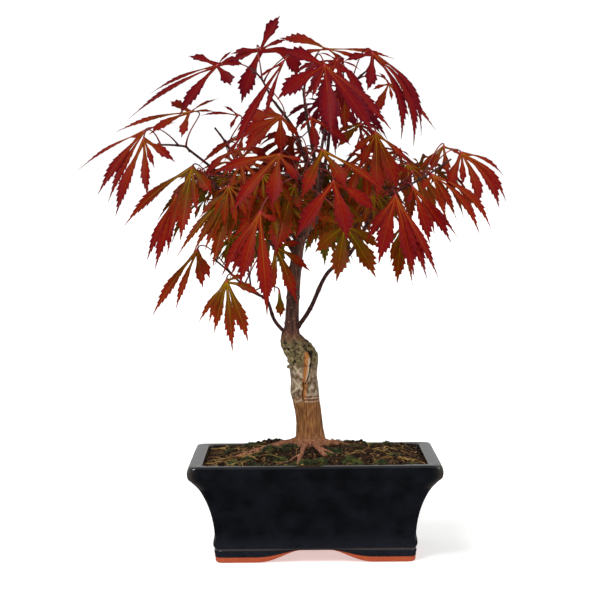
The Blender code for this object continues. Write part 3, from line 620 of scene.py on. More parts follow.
# The graft seen from the front, as x and height along each line: the healed bed, the rib that closed
# over it, the lip and crack beside it, ridges where the bark was drawn together, and saw cuts.
GRAFT_BED = [(-5.3, 161), (-6.1, 149.8), (-7.3, 138.4), (-8.3, 125.4)]
GRAFT_RIB = [(-3.9, 157), (-4.6, 147.1), (-6.3, 138.1)]
GRAFT_LIP = [(-8.0, 167.1), (-3.2, 163.0), (-1.6, 157.0), (-3.0, 149.4), (-4.3, 142.7), (-6.9, 136.7)]
GRAFT_CRACK = [(-8.6, 137.5), (-8.0, 133.0), (-9.5, 129.2), (-9.1, 123.2)]
GRAFT_RIDGES = [[(-16.2, 140.4), (-9.8, 132.1)], [(-17.8, 129.1), (-12.1, 133.6)],
                [(-15.8, 150.9), (-9.1, 141.9)], [(-14.5, 121.5), (-10.2, 123.5)]]
SAW_CUTS = [126.0, 123.4]
SAW_LIPS = [128.4, 126.9, 124.7, 121.9]
SAW_FROM = -7.6
# Heights of the rings that each year's buds left on the stem.
YEAR_RINGS = (186, 207, 231, 258, 284)


def trunk_radius(path):
    """How far the trunk's surface is from its axis, row by row and angle by angle."""
    def radius_at(row, angle):
        z = path[row][2]
        radius = path[row][3]
        foot = max(z - SOIL_TOP, -6)
        radius += FLARE * math.exp(-foot / FLARE_HEIGHT) * (1 + 0.25 * math.cos(3 * angle + 0.6))
        for height, facing, amount, half in TRUNK_SWELLINGS:
            near = math.exp(-((z - height) / half) ** 2)
            radius += amount * near * max(0.0, math.cos(angle - math.radians(facing))) ** 2
        return radius
    return radius_at


def root_shape(plan, thick, thin, sides):
    """A surface root that leaves the flare, lies half sunk along the soil and winds a little."""
    route = smooth_path(plan, 6)
    last = len(route) - 1
    path = []
    for row, (x, y) in enumerate(route):
        share = row / last
        radius = thick + (thin - thick) * share
        wind = 0.5 * noise.noise(Vector((x, y, 3)) / 6)
        height = mound(x, y) + radius * 0.35 + 3.0 * max(0.0, 1 - 3 * share) + 0.6 * wind
        path.append((x + wind, y - wind, height))
    return loft(tube_rings(path, sides, lambda row, _: thick + (thin - thick) * row / last))


def apply_modifiers(piece):
    """Keep the mesh that the modifiers make, and drop them."""
    graph = bpy.context.evaluated_depsgraph_get()
    mesh = bpy.data.meshes.new_from_object(piece.evaluated_get(graph))
    piece.modifiers.clear()
    piece.data = mesh


def step_up(value, low, high):
    """A soft step from 0 at low to 1 at high."""
    t = min(max((value - low) / (high - low), 0.0), 1.0)
    return t * t * (3 - 2 * t)


def ridge(distance, half):
    """A round bump across a line: 1 on it, nothing two halves away."""
    return math.exp(-(distance / half) ** 2)


def bark_relief(place, facing):
    """How far the bark stands out at a place, and the marks that its colour follows."""
    x, y, z = place
    seen = Vector((x, z))
    front = step_up(-facing.y, 0.05, 0.45)
    young = step_up(z, 166, 180)
    gnarl = step_up(z, 146, 156) * (1 - step_up(z, 168, 178))
    old = 1 - young
    root = 1 - step_up(z, 86, 97)
    marks = {"young": young, "root": root}
    rise = old * (1 - gnarl) * 0.34 * noise.noise(Vector((x / 1.4, y / 1.4, z / 9)))
    rise += old * 0.45 * noise.noise(place / 8)
    rise += root * 0.22 * math.sin(z * 2.6 + 3 * noise.noise(place / 7)) * (z > 88)
    rise += root * (z <= 88) * 0.35 * noise.noise(Vector((x / 1.6, y / 5, z / 3)))
    lump = noise.noise(place / 3.4)
    rise += gnarl * (1.05 * lump + 0.5 * noise.noise(place / 1.6))
    rise += young * (0.12 * noise.noise(Vector((x / 0.9, y / 0.9, z / 12))) + 0.14 * noise.noise(place / 5))
    for height in YEAR_RINGS:
        rise += 0.45 * ridge(z - height - 0.8 * noise.noise(place / 3), 1.3)
    in_bed = front * (1 - step_up(off_line(seen, GRAFT_BED), 1.5, 2.6)) * old
    rib = front * ridge(off_line(seen, GRAFT_RIB), 0.8)
    lip = front * ridge(off_line(seen, GRAFT_LIP), 0.55)
    crack = front * ridge(off_line(seen, GRAFT_CRACK), 0.6)
    drawn = front * max(ridge(off_line(seen, line), 0.8) for line in GRAFT_RIDGES)
    sawn = front * step_up(x, SAW_FROM - 1, SAW_FROM + 1)
    wobble = z + 0.5 * noise.noise(place / 2)
    cut = sawn * max(ridge(wobble - height, 0.45) for height in SAW_CUTS)
    lips = sawn * max(ridge(wobble - height, 0.5) for height in SAW_LIPS)
    rise += -0.9 * in_bed + 1.5 * rib - 1.3 * lip - 1.7 * crack + 0.7 * drawn - 0.6 * cut + 0.4 * lips
    marks["scar"] = min(1.0, in_bed)
    marks["pale"] = min(1.0, 0.8 * rib + 0.75 * drawn + lips * (0.5 + noise.noise(place / 1.5)))
    # The dark mark is painted shade: near black in the grooves of the lip and the crack, and in the hollows
    # between the lumps.
    marks["dark"] = min(1.0, lip + crack + gnarl * step_up(-lump, 0.15, 0.5))
    marks["cut"] = cut
    marks["mottled"] = old * step_up(z, 120, 128)
    marks["gnarl"] = gnarl
    return rise, marks


def with_pores(mat, place, bark, spacing, size, pale):
    """Bark with lenticels, the pores of young shoots: pale dots this many millimetres apart."""
    pores = add_node(mat, "TexVoronoi", {"Scale": per_mm(spacing)}, {"Vector": place}).outputs["Distance"]
    dots = add_node(mat, "ValToRGB", {"stops": [(size, "ffffff"), (2 * size, "000000")]}, {"Fac": pores})
    return mixed(mat, dots.outputs["Color"], bark, pale)


def old_bark():
    """Thin maple bark: fine upright tan grain at the foot, grey flakes round the graft, red brown above."""
    mat, shader = new_material("maple_bark", "8a5c36", Roughness=0.78, Specular_IOR_Level=0.3)
    place = add_node(mat, "TexCoord").outputs["Object"]

    def grown(across, upright, stops):
        """Colours of the bark where its grains have this size in millimetres."""
        return grained(mat, place, across, stops, upright, Detail=4, Roughness=0.65)[0]

    foot = grown(1.6, 12, [(0.3, "4f2f1a"), (0.46, "8a5730"), (0.58, "ab7440"), (0.75, "d0a778")])
    flakes = grown(2.6, 4, [(0.34, "4c3423"), (0.46, "7d6248"), (0.56, "a08c74"), (0.68, "cdbfa8")])
    lumps = grown(3, 3, [(0.32, "2e2416"), (0.46, "625535"), (0.58, "8b7a52"), (0.72, "b0a07c")])
    roots = grown(1.8, 2.2, [(0.3, "5a3424"), (0.48, "935c42"), (0.64, "bb8867"), (0.8, "d6ab8c")])
    shoot = grown(2.2, 16, [(0.32, "2f1a15"), (0.5, "54342a"), (0.7, "7a4f3e")])
    bed = grown(1.0, 9, [(0.34, "7a3f1a"), (0.5, "b8702f"), (0.68, "d9a066")])
    shoot = with_pores(mat, place, shoot, 3.2, 0.1, "a98468")
    colour = foot
    # Of these marks, dark is painted shade in the bark's grooves and hollows.
    for name, over in (("mottled", flakes), ("root", roots), ("gnarl", lumps), ("young", shoot),
                       ("scar", bed), ("pale", "dcc7a8"), ("cut", "7a3a22"), ("dark", "1d130c")):
        marked = add_node(mat, "Attribute", {"attribute_name": name}).outputs["Fac"]
        colour = mixed(mat, marked, colour, over)
    fine = add_node(mat, "TexNoise", {"Scale": per_mm(0.8), "Detail": 4, "Roughness": 0.7}, {"Vector": place})
    return dressed(mat, shader, colour, fine.outputs["Fac"], 0.6, 0.35)


def build_trunk():
    """Stem and roots grown into one skin, which is then given the bark's relief."""
    path = smooth_path(TRUNK_AXIS, 8)
    stub_path = smooth_path(STUB, 3)
    shapes = [loft(tube_rings([row[:3] for row in path], TRUNK_SIDES, trunk_radius(path))),
              loft(tube_rings(stub_path, 8, lambda row, _: 1.9 - 0.12 * row))]
    shapes += [root_shape(*root, 16) for root in ROOTS]
    shapes += [root_shape(*root, 10) for root in ROOTLETS]
    trunk = add_piece("grafted_trunk", *gather(shapes), [], "maple_bark", ["trunk"])
    skin = trunk.modifiers.new("one_skin", "REMESH")
    skin.mode = "VOXEL"
    skin.voxel_size = VOXEL * MM
    blend = trunk.modifiers.new("grown_together", "SMOOTH")
    blend.iterations = 5
    apply_modifiers(trunk)
    mesh = trunk.data
    mesh.materials.clear()
    mesh.materials.append(old_bark())
    kept = {name: [] for name in ("young", "root", "scar", "pale", "dark", "cut", "mottled", "gnarl")}
    moved = []
    for vert in mesh.vertices:
        rise, marks = bark_relief((vert.co - POT_PLACE) / MM, vert.normal)
        moved += list(vert.co + vert.normal * rise * MM)
        for name, row in kept.items():
            row.append(marks[name])
    mesh.vertices.foreach_set("co", moved)
    for name, row in kept.items():
        mesh.attributes.new(name, "FLOAT", "POINT").data.foreach_set("value", row)
    mesh.shade_smooth()
    mesh.update()


build_trunk()


# Limbs. The boughs of this young tree are thin, springy shoots of two or three years, that leave the stem
# in opposite pairs. Their bark is smooth and dark maroon, ringed where each year's buds stood.
BOUGHS = {
    "bough_low_right": ([(-17, 1, 177), (-3, -6, 197), (11, -13, 226), (30, -18, 243), (50, -26, 279)],
                        1.9, 1.3),
    "bough_low_left": ([(-18, 1, 173), (-31, -8, 188), (-37, -15, 205), (-46, -20, 211)], 1.6, 1.1),
    "bough_left_high": ([(-13, 2, 238), (-41, -5, 286), (-56, -8, 308), (-66, -10, 326)], 1.4, 1.0),
    "bough_left_mid": ([(-11, 3, 249), (-28, 4, 272), (-63, 9, 298), (-100, 6, 327)], 1.4, 1.0),
    "bough_left_front": ([(-15, 1, 222), (-36, -14, 254), (-58, -22, 276), (-76, -24, 296)], 1.4, 1.0),
    "bough_top_left": ([(5, 6, 296), (-7, 2, 322), (-14, -2, 342), (-30, -12, 364)], 1.7, 1.1),
    "bough_top": ([(3, 6, 311), (0, 5, 330), (-4, 3, 352), (-6, 0, 368)], 1.6, 1.1),
    "bough_top_right": ([(5, 6, 292), (12, 5, 322), (15, 3, 344), (24, 0, 366)], 1.6, 1.1),
    "bough_right_high": ([(5, 6, 284), (24, 0, 311), (34, -5, 324)], 1.4, 1.0),
    "bough_front": ([(-10, 3, 252), (-11, -8, 266), (-11, -20, 280)], 1.6, 1.1),
    "bough_back_top": ([(4.2, 6, 302), (9, 26, 334), (14, 42, 356)], 1.4, 1.0),
    "bough_back_mid": ([(4, 6, 278), (0, 24, 296), (-4, 42, 308)], 1.4, 1.0),
    "bough_back_left": ([(-13, 2, 243), (-36, 26, 280), (-60, 44, 302)], 1.5, 1.0),
    "bough_back_right": ([(-6, 3, 258), (26, 26, 290), (52, 42, 315)], 1.5, 1.0),
    "bough_back_low": ([(-15, 1, 216), (-14, 22, 246), (-12, 40, 262)], 1.5, 1.0)}
LIMB_SIDES = 14
BUD_SPACING = 19.0
BUD_LENGTH = 2.6


def bud(centre, way, size):
    """A resting bud: a small pointed egg that lies close against the shoot."""
    path = [centre + way * size * share for share in (-0.3, 0.0, 0.35, 0.7, 0.92, 1.0)]
    widths = [0.16, 0.3, 0.34, 0.22, 0.1, 0.02]
    return loft(tube_rings(path, 6, lambda row, _: widths[row] * size))


def limb_shape(path, first_radius, last_radius, rng, sides=LIMB_SIDES):
    """A tapering shoot with a ring and two opposite buds at each node."""
    path = [Vector(p) for p in path]
    run = [0.0]
    for a, b in zip(path, path[1:]):
        run.append(run[-1] + (b - a).length)
    rings_at = [BUD_SPACING * (k + rng.uniform(0.35, 0.65)) for k in range(int(run[-1] / BUD_SPACING) + 1)]
    last = len(path) - 1

    def radius_at(row, angle):
        radius = first_radius + (last_radius - first_radius) * row / last
        radius *= 1 + 0.28 * max(ridge(run[row] - at, 1.1) for at in rings_at)
        return radius + 0.07 * noise.noise(path[row] / 3 + Vector((angle, 0, 0)))

    shapes = [loft(tube_rings(path, sides, radius_at))]
    turn = rng.uniform(0, math.pi)
    for at in rings_at:
        row = min(range(last + 1), key=lambda k: abs(run[k] - at))
        if row < 2 or row > last - 1:
            continue
        ahead = (path[row + 1] - path[row - 1]).normalized()
        side = ahead.orthogonal().normalized()
        turn += math.pi / 2
        for half in (0, math.pi):
            out = side * math.cos(turn + half) + ahead.cross(side) * math.sin(turn + half)
            shapes.append(bud(path[row] + out * first_radius * 0.7, (ahead + out * 0.75).normalized(),
                              BUD_LENGTH * rng.uniform(0.5, 1.0)))
    return gather(shapes)


def young_bark():
    """Smooth bark of young shoots: dark maroon with a dull shine, lighter streaks and small pale pores."""
    mat, shader = new_material("young_maple_bark", "3a1a16", Roughness=0.48, Specular_IOR_Level=0.4)
    place = add_node(mat, "TexCoord").outputs["Object"]
    colour, streak = grained(mat, place, 2.5, [(0.32, "220d0d"), (0.5, "411c19"), (0.7, "6a372b")],
                             Detail=4, Roughness=0.6)
    colour = with_pores(mat, place, colour, 2.4, 0.08, "8d6752")
    return dressed(mat, shader, colour, streak, 0.35, 0.15)


limb_skin = young_bark()
for limb_name, (limb_points, limb_thick, limb_thin) in BOUGHS.items():
    shape = limb_shape(smooth_path(limb_points, 9), limb_thick, limb_thin, random.Random(limb_name))
    add_piece(limb_name.replace("bough", "limb"), *shape, [limb_skin], "young_maple_bark", [limb_name])


# Foliage. Each limb ends in a shoot whose leaves hang on long stalks, in pairs. A leaf is a thin hand of
# seven saw-edged lobes, cut almost to the stalk, crimson in the sun and bronze or olive in the shade.
SEED = 11
GAP = 0.3
LOBES = [(-112, 0.36), (-68, 0.76), (-33, 0.94), (0, 1.0), (33, 0.94), (68, 0.76), (112, 0.36)]
SHORT_LOBE = 0.8
LONG_STOPS = (0.30, 0.60, 1.0)
SINUS = 0.13
NOTCH = 0.045
SAG_FLAT = 0.7
SAG_HUNG = 1.3
LEAF_THICK = 0.95
PETIOLE = 34.0
STEM_RADIUS = 1.1
STALK_RADIUS = 0.75
STALK_STEPS = 10
STALK_WIDTHS = [1.0, 0.72, 0.6, 0.55, 0.52, 0.5, 0.5, 0.52, 0.55, 0.6, 0.7]
NODE_SPACING = 3.0
CROWN_X = -8.0
CROWN_HALF = 130.0
CROWN_TOP = 398.0
CROWN_FALL = 0.0035
FACE_TURN = 50.0
BACK_FROM = 20.0
NEAR_TRIES = 40
GROWN_TRIES = 160
FIT = 0.3
# Where the photograph was taken from; the studio's camera stands there.
CAMERA = (-10.1, -1538.0, 287.0)
# Each mass: the bough it grows from, where its stem leads, its leaves that show from the front (hub x, y,
# z, heading, lean, lobe length and, where it differs from the rule, the way that the blade faces) and how
# many more leaves its stem carries.
MASSES = {
    "foliage_top_left": ("bough_top_left", [(-40, -19, 382), (-50, -22, 392)], [
        (-75, -30, 392, 200, 28, 82, -115), (-41, 6, 407, -30, 76, 74, -95),
        (-23, -60, 391, -150, 62, 80, -160), (-25, -35, 351, -130, 45, 48)], 0),
    "foliage_top_right": ("bough_top_right", [(36, 0, 382), (47, 2, 391)], [
        (49, -15, 401, -35, 62, 84, -25), (63, 15, 379, -15, 45, 58, -35),
        (26, -10, 377, -90, 60, 45)], 2),
    "foliage_top": ("bough_top", [(-4, -6, 383), (2, -12, 394)], [
        (14, -5, 406, 90, 12, 72), (10, -55, 389, -72, 50, 78), (-1, -30, 350, -45, 50, 45)], 2),
    "foliage_left_high": ("bough_left_high", [(-72, -11, 336), (-78, -12, 344)], [
        (-60, -5, 354, 170, 20, 38)], 2),
    "foliage_left_mid": ("bough_left_mid", [(-116, 8, 331), (-126, 8, 331)], [
        (-135, -10, 341, 190, 38, 66, -125), (-134, -20, 334, -120, 65, 66),
        (-98, -18, 356, 190, 26, 50)], 0),
    "foliage_left_front": ("bough_left_front", [(-86, -26, 302), (-94, -28, 304)], [
        (-96, -25, 311, -155, 48, 72), (-108, -35, 289, -120, 65, 62),
        (-62, -40, 295, -130, 60, 72)], 0),
    "foliage_low_left": ("bough_low_left", [(-54, -24, 216), (-68, -30, 230), (-80, -26, 240)], [
        (-93, -20, 245, -140, 60, 65), (-68, -50, 222, -85, 65, 58), (-29, -35, 248, -60, 60, 52)], 0),
    "foliage_front": ("bough_front", [(-10, -32, 295), (-6, -52, 308)], [
        (-41, -85, 275, -95, 60, 78), (-15, -50, 296, -140, 50, 70), (-26, -60, 320, -110, 50, 50),
        (8, -70, 323, -60, 45, 62), (16, -80, 299, -90, 55, 55), (25, -55, 265, -85, 55, 50)], 0),
    "foliage_right_high": ("bough_right_high", [(40, -12, 332), (45, -18, 336)], [
        (50, -40, 337, -85, 60, 58), (38, -20, 345, -150, 45, 34)], 1),
    "foliage_right": ("bough_low_right", [(57, -27, 286), (90, -29, 304), (110, -30, 317)], [
        (64, -65, 287, -70, 65, 70), (79, -45, 294, -35, 60, 62), (79, -20, 307, 0, 30, 40),
        (118, -35, 321, -25, 50, 56), (105, -15, 327, -140, 55, 34), (96, -20, 304, -25, 45, 64),
        (70, -35, 262, -70, 65, 48)], 0),
    "foliage_back_top": ("bough_back_top", [(20, 54, 368), (26, 66, 374)], [], 5),
    "foliage_back_left": ("bough_back_left", [(-74, 55, 306), (-90, 64, 302)], [], 6),
    "foliage_back_right": ("bough_back_right", [(64, 52, 316), (78, 60, 313)], [], 6),
    "foliage_back_low": ("bough_back_low", [(-14, 58, 272), (-16, 76, 277)], [], 7),
    "foliage_back_mid": ("bough_back_mid", [(0, 60, 318), (3, 78, 322)], [], 5)}
# Tints from leaves grown in the shade to leaves grown in full sun.
TINTS = ["4a4402", "5a4001", "693a01", "6c2d01", "702403", "802408", "841a08", "7a1008", "740a10", "6a0712",
         "560410"]
UNDER_TINTS = ["4f4a0c", "5e400c", "6e340d", "7c2a12", "762016", "661420", "52101a"]
RIB_TINTS = ["a88608", "a8760a", "a25a10", "923c10", "7c2412"]
# The tint at the base and at the tips of each mass's front leaves, as places in TINTS. Where a leaf glows
# orange with light shining through it, its tones sit at the orange middle of TINTS: painted light.
TONES = {
    "foliage_top_left": [(8.3, 9.4), (8, 9), (9, 8.2), (5, 6.6)],
    "foliage_top_right": [(8, 8.6), (5, 6.6), (4.4, 5.4)],
    "foliage_top": [(3.8, 7.4), (7.8, 8.6), (6.6, 8.4)],
    "foliage_left_high": [(7, 8.4)],
    "foliage_left_mid": [(5.6, 8), (4, 8.4), (3.6, 7.2)],
    "foliage_left_front": [(1.2, 6.6), (5, 8.2), (0.2, 4.6)],
    "foliage_low_left": [(3, 6.2), (1.2, 5.4), (1, 7.2)],
    "foliage_front": [(5.4, 7.6), (1, 6.4), (4, 7.8), (2, 7.4), (6, 8), (1.2, 3.6)],
    "foliage_right_high": [(3, 7.4), (2, 4.2)],
    "foliage_right": [(6, 8), (6, 8.2), (7, 8.8), (4.8, 7.6), (3, 6), (4.8, 6.2), (1.4, 4.2)]}
# The lobes of each front leaf as they hang, seen from the front: bearing from level right in degrees, length
# in mm, and half the width as a share of that.
HANG = {
    "foliage_top_left": [
        [(-200, 25, 0.17), (-157, 57, 0.04), (-148, 81, 0.045), (-125, 51, 0.095), (-55, 20, 0.28),
         (0, 22, 0.2), (20, 20, 0.14), (45, 18, 0.09)],
        [(-172, 25, 0.1), (-158, 27, 0.12), (-110, 46, 0.15), (-42, 40, 0.17, 0.28), (20, 24, 0.08),
         (60, 32, 0.16)],
        [(-150, 24, 0.08), (-120, 80, 0.075), (-108, 47, 0.055)],
        [(-202, 16, 0.22), (-178, 32, 0.2), (-152, 36, 0.17), (-136, 41, 0.15), (-90, 28, 0.2),
         (-50, 22, 0.15)]],
    "foliage_top_right": [
        [(-165, 24, 0.14), (-100, 30, 0.2), (-73, 72, 0.065, 0.12), (-67, 80, 0.07, 0.14),
         (-60, 76, 0.055, 0.15)],
        [(-230, 13, 0.12), (-160, 15, 0.12), (-115, 30, 0.13), (-82, 14, 0.12), (-60, 32, 0.09),
         (-45, 54, 0.06)],
        [(-130, 33, 0.09), (-108, 31, 0.11), (-90, 37, 0.12)]],
    "foliage_top": [
        [(-195, 42, 0.15), (-165, 24, 0.2), (-48, 19, 0.18), (-24, 26, 0.14), (-10, 54, 0.055)],
        [(-202, 34, 0.17), (-145, 45, 0.16), (-112, 28, 0.08), (-85, 57, 0.145), (-56, 67, 0.11),
         (-45, 71, 0.065), (-15, 24, 0.08)],
        [(-130, 14, 0.12), (-80, 27, 0.15), (-35, 38, 0.1)]],
    "foliage_left_high": [
        [(-215, 14, 0.1), (-180, 30, 0.07), (-115, 13, 0.15)]],
    "foliage_left_mid": [
        [(-150, 61, 0.035), (-125, 61, 0.075), (-115, 62, 0.065), (15, 27, 0.07)],
        [(-110, 64, 0.085), (-85, 46, 0.09), (-68, 24, 0.1), (-35, 31, 0.12)],
        [(-210, 18, 0.24), (-165, 60, 0.05), (-150, 36, 0.11), (-105, 21, 0.18), (0, 21, 0.07),
         (25, 26, 0.08)]],
    "foliage_left_front": [
        [(-140, 70, 0.06, 0.06), (-108, 61, 0.075), (-98, 57, 0.11), (-82, 37, 0.09), (-50, 26, 0.19)],
        [(-115, 56, 0.07), (-106, 60, 0.08), (-98, 47, 0.065)],
        [(-140, 37, 0.09), (-130, 71, 0.05), (-122, 62, 0.055), (-115, 53, 0.11), (-105, 63, 0.09),
         (-96, 43, 0.11)]],
    "foliage_low_left": [
        [(-125, 62, 0.065), (-110, 49, 0.065), (-80, 29, 0.14), (-62, 24, 0.17)],
        [(-125, 39, 0.06), (-114, 36, 0.08), (-104, 41, 0.09), (-85, 54, 0.085), (-70, 49, 0.105),
         (-20, 28, 0.12), (20, 14, 0.16)],
        [(-100, 44, 0.075), (-93, 37, 0.05), (-70, 47, 0.105), (-35, 33, 0.1), (10, 20, 0.14)]],
    "foliage_front": [
        [(-122, 55, 0.075), (-115, 54, 0.07), (-106, 57, 0.1), (-86, 77, 0.08), (-25, 14, 0.2)],
        [(-200, 14, 0.14), (-140, 62, 0.12), (-105, 56, 0.165), (-75, 20, 0.16)],
        [(-165, 56, 0.07), (-130, 59, 0.085), (-98, 41, 0.16), (-55, 26, 0.14), (-15, 21, 0.09)],
        [(-115, 41, 0.13), (-60, 36, 0.15), (-35, 62, 0.05)],
        [(-125, 52, 0.115), (-78, 45, 0.17), (-35, 40, 0.12)],
        [(-195, 23, 0.13), (-140, 31, 0.19), (-100, 43, 0.16), (-60, 46, 0.15), (-33, 32, 0.14),
         (15, 22, 0.14)]],
    "foliage_right_high": [
        [(-140, 25, 0.13), (-115, 32, 0.11), (-90, 53, 0.13), (-70, 47, 0.14), (-43, 39, 0.07)],
        [(-160, 20, 0.15), (-135, 26, 0.17)]],
    "foliage_right": [
        [(-125, 42, 0.1), (-106, 53, 0.13), (-78, 62, 0.11), (-70, 68, 0.085), (-63, 71, 0.06)],
        [(-110, 14, 0.15), (-75, 45, 0.13), (-56, 52, 0.09), (-49, 54, 0.045)],
        [(-190, 16, 0.22), (-105, 14, 0.2)],
        [(-115, 34, 0.14), (-92, 26, 0.12), (-75, 44, 0.13, 0.06), (-57, 52, 0.105, 0.1),
         (-48, 51, 0.07, 0.11), (-28, 38, 0.05, 0.12)],
        [(-138, 29, 0.06), (-122, 24, 0.15), (-85, 23, 0.16), (-25, 17, 0.12)],
        [(-130, 15, 0.18), (-76, 33, 0.105), (-64, 34, 0.09), (-54, 57, 0.07, 0.1), (-44, 60, 0.07, 0.12)],
        [(-135, 19, 0.14), (-110, 28, 0.11), (-96, 43, 0.12), (-80, 47, 0.045)]]}
# More leaves of the same kind in front: hub, tints and lobes.
MORE = {
    "foliage_left_high": [
        ((-56, -12, 337), (5, 7), [(-150, 34, 0.07), (-146, 43, 0.05), (-125, 25, 0.09), (-100, 14, 0.2)]),
        ((-59, -24, 326), (4, 8), [(-137, 37, 0.08, 0.12), (-108, 26, 0.06), (-69, 22, 0.24),
                                   (-18, 26, 0.12, 0.14)])],
    "foliage_low_left": [((-27.1, -30, 212.7), (0, 3.6), [(-87, 20, 0.19)])]}
# Sprays of smaller leaves that fill the heart of the crown: how many a mass has, and the middle and half
# sizes of the part of the front view that they fill.
HEART = {
    "foliage_front": (5, -20, 282, 45, 22), "foliage_left_front": (4, -72, 284, 22, 20),
    "foliage_low_left": (4, -62, 252, 26, 14), "foliage_right": (3, 45, 280, 24, 14),
    "foliage_back_low": (6, -15, 268, 42, 26), "foliage_back_left": (4, -55, 288, 28, 18),
    "foliage_back_mid": (4, -5, 296, 35, 14), "foliage_back_right": (3, 30, 288, 25, 18)}
SPRAY_TRIES = 60
SPRAY_REACH = 52.0
SPRAY_TURNS = (-100, 95, -35, 30)
# Places where the sky shows through the crown, seen from the front: x, z, half width and half height.
OPENINGS = [(-18, 369, 12, 10), (-33, 389, 6, 9), (-10, 330, 13, 12), (30, 342, 10, 13), (68, 358, 6, 16),
            (75, 324, 17, 14), (-127, 295, 10, 10), (-93, 268, 6, 18), (55, 239, 13, 6), (-88, 356, 22, 8)]
# A lobe's outline: half its width along its length, as a share of the widest.
LOBE_SHAPE = [(0.0, 0.13), (0.12, 0.2), (0.22, 0.36), (0.34, 0.7), (0.46, 0.96), (0.54, 1.0), (0.67, 0.76),
              (0.79, 0.38), (0.88, 0.15), (1.0, 0.04)]
GROWN_HALF = 0.085
SHORTENED = (1.0, 0.8, 0.64, 0.5)
BULGE = 0.05
TOWARDS_VIEWER = 0.55
FRONT_LIMIT = -106.0
TOOTH = 0.22
TOOTH_FORWARD = 0.035
TOOTH_SPACING = 3.1
VEIN_SLANT = 0.8
LEAF_SKIN = 0.3


def blade_axes(seat):
    """The middle lobe's direction, the blade's cross direction and its upper normal at the hub."""
    x, y, _, heading, lean, _, *turned = seat
    facing = 90 - FACE_TURN * (x - CROWN_X) / CROWN_HALF
    facing = math.radians(turned[0] if turned else facing if y > BACK_FROM else -facing)
    lean = math.radians(lean)
    normal = Vector((math.sin(lean) * math.cos(facing), math.sin(lean) * math.sin(facing), math.cos(lean)))
    heading = math.radians(heading)
    ahead = Vector((math.cos(heading), math.sin(heading), 0))
    ahead = (ahead - normal * ahead.dot(normal)).normalized()
    return ahead, normal.cross(ahead), normal


def lobe_line(seat, angle, share, stops, parts=3, sag_by=1.0, curl=0.0):
    """A lobe's midrib as rows of place, direction and cross direction: it leaves the hub flat and sags."""
    ahead, across, _ = blade_axes(seat)
    span = seat[5]
    sag = (SAG_FLAT + SAG_HUNG * math.sin(math.radians(seat[4])) ** 2) * sag_by
    point = Vector(seat[:3])
    rows = []
    reached = 0.0
    for at in stops:
        step = (at * share - reached) / parts
        for _ in range(parts):
            turn = math.radians(angle) + curl * (reached / share) ** 2
            out = ahead * math.cos(turn) + across * math.sin(turn)
            way = (out - Vector((0, 0, sag * (reached + step / 2)))).normalized()
            point = point + way * step * span
            reached += step
        rows.append((point, way, across * math.cos(turn) - ahead * math.sin(turn)))
    return rows


def hung_line(hub, normal, lobe, stops):
    """A hanging lobe's midrib as rows of place, direction and cross direction: it arches over and down."""
    bearing = math.radians(lobe[0])
    out = Vector((math.cos(bearing), 0, math.sin(bearing)))
    over = Vector((-math.sin(bearing), 0, math.cos(bearing))) * math.copysign(1, math.cos(bearing))
    depth = max(-TOWARDS_VIEWER, min(TOWARDS_VIEWER, -out.dot(normal) / normal.y))
    depth = max(depth, (FRONT_LIMIT - hub.y) / lobe[1])
    reach = (out + Vector((0, depth, 0))) * lobe[1]
    rise = over * 4 * lobe[1] * (lobe[3] if len(lobe) > 3 else BULGE * abs(math.cos(bearing)))
    rows = []
    for at in stops:
        way = (reach + rise * (1 - 2 * at)).normalized()
        rows.append((hub + reach * at + rise * at * (1 - at), way, normal.cross(way).normalized()))
    return rows


def stalk_route(start, leaf):
    """A leaf stalk from the stem to the blade: it rises, arches over and arrives along the middle lobe."""
    ahead, normal = leaf["ahead"], leaf["normal"]
    end = leaf["hub"] - ahead * leaf["span"] * NOTCH
    reach = (end - start).length
    first = start + (end - start) * 0.3 + Vector((0, 0, 0.2 * reach))
    second = end - (ahead * 0.85 + normal * 0.3) * 0.35 * reach
    return [start * (1 - t) ** 3 + first * 3 * t * (1 - t) ** 2 + second * 3 * t * t * (1 - t) + end * t ** 3
            for t in (step / STALK_STEPS for step in range(STALK_STEPS + 1))]


def stem_of(bough, lead):
    """The stem of a mass, from just past the tip of its bough through the points that lead it."""
    path = [Vector(p) for p in smooth_path(BOUGHS[bough][0], 3)]
    ahead = (path[-1] - path[-2]).normalized()
    tip = path[-1] + ahead * GAP
    return [Vector(p) for p in smooth_path([tip, tip + ahead * 4, *lead], 2)]


def stem_nodes(stem):
    """Points along a stem, each with the way it runs there, where one stalk may start."""
    nodes = []
    spare = NODE_SPACING
    for a, b in zip(stem, stem[1:]):
        way = (b - a).normalized()
        while spare < (b - a).length:
            nodes.append((a + way * spare, way))
            spare += NODE_SPACING
        spare -= (b - a).length
    return nodes


def best_node(nodes, seat):
    """The place on the stem that gives this leaf a stalk nearest to its natural length."""
    hub = Vector(seat[:3])

    def cost(node):
        reach = hub - node[0]
        return abs(reach.length - PETIOLE) + 14 * (1 - node[1].dot(reach.normalized()))

    return min(nodes, key=cost)


def grown_seats(stem, place, count, rng):
    """Ways to seat one more leaf: in opposite pairs at the stem's nodes, the odd one at its tip."""
    last = len(stem) - 1
    node = stem[round(last * (0.25 + 0.7 * (place // 2) / max(1, (count - 1) // 2)))]
    ahead = stem[last] - stem[0]
    turn = 0 if place == count - 1 and count % 2 else (72 if place % 2 else -72)
    seats = []
    for _ in range(GROWN_TRIES):
        heading = math.degrees(math.atan2(ahead.y, ahead.x)) + turn + rng.uniform(-40, 40)
        rise = math.radians(rng.uniform(-35, 50))
        reach = PETIOLE * rng.uniform(0.7, 1.4)
        hub = node + Vector((math.cos(math.radians(heading)) * math.cos(rise),
                             math.sin(math.radians(heading)) * math.cos(rise), math.sin(rise))) * reach
        hub.z = min(hub.z, CROWN_TOP - CROWN_FALL * (hub.x - CROWN_X) ** 2)
        seats.append((*hub, heading, rng.uniform(35, 62), rng.uniform(46, 64)))
    return seats


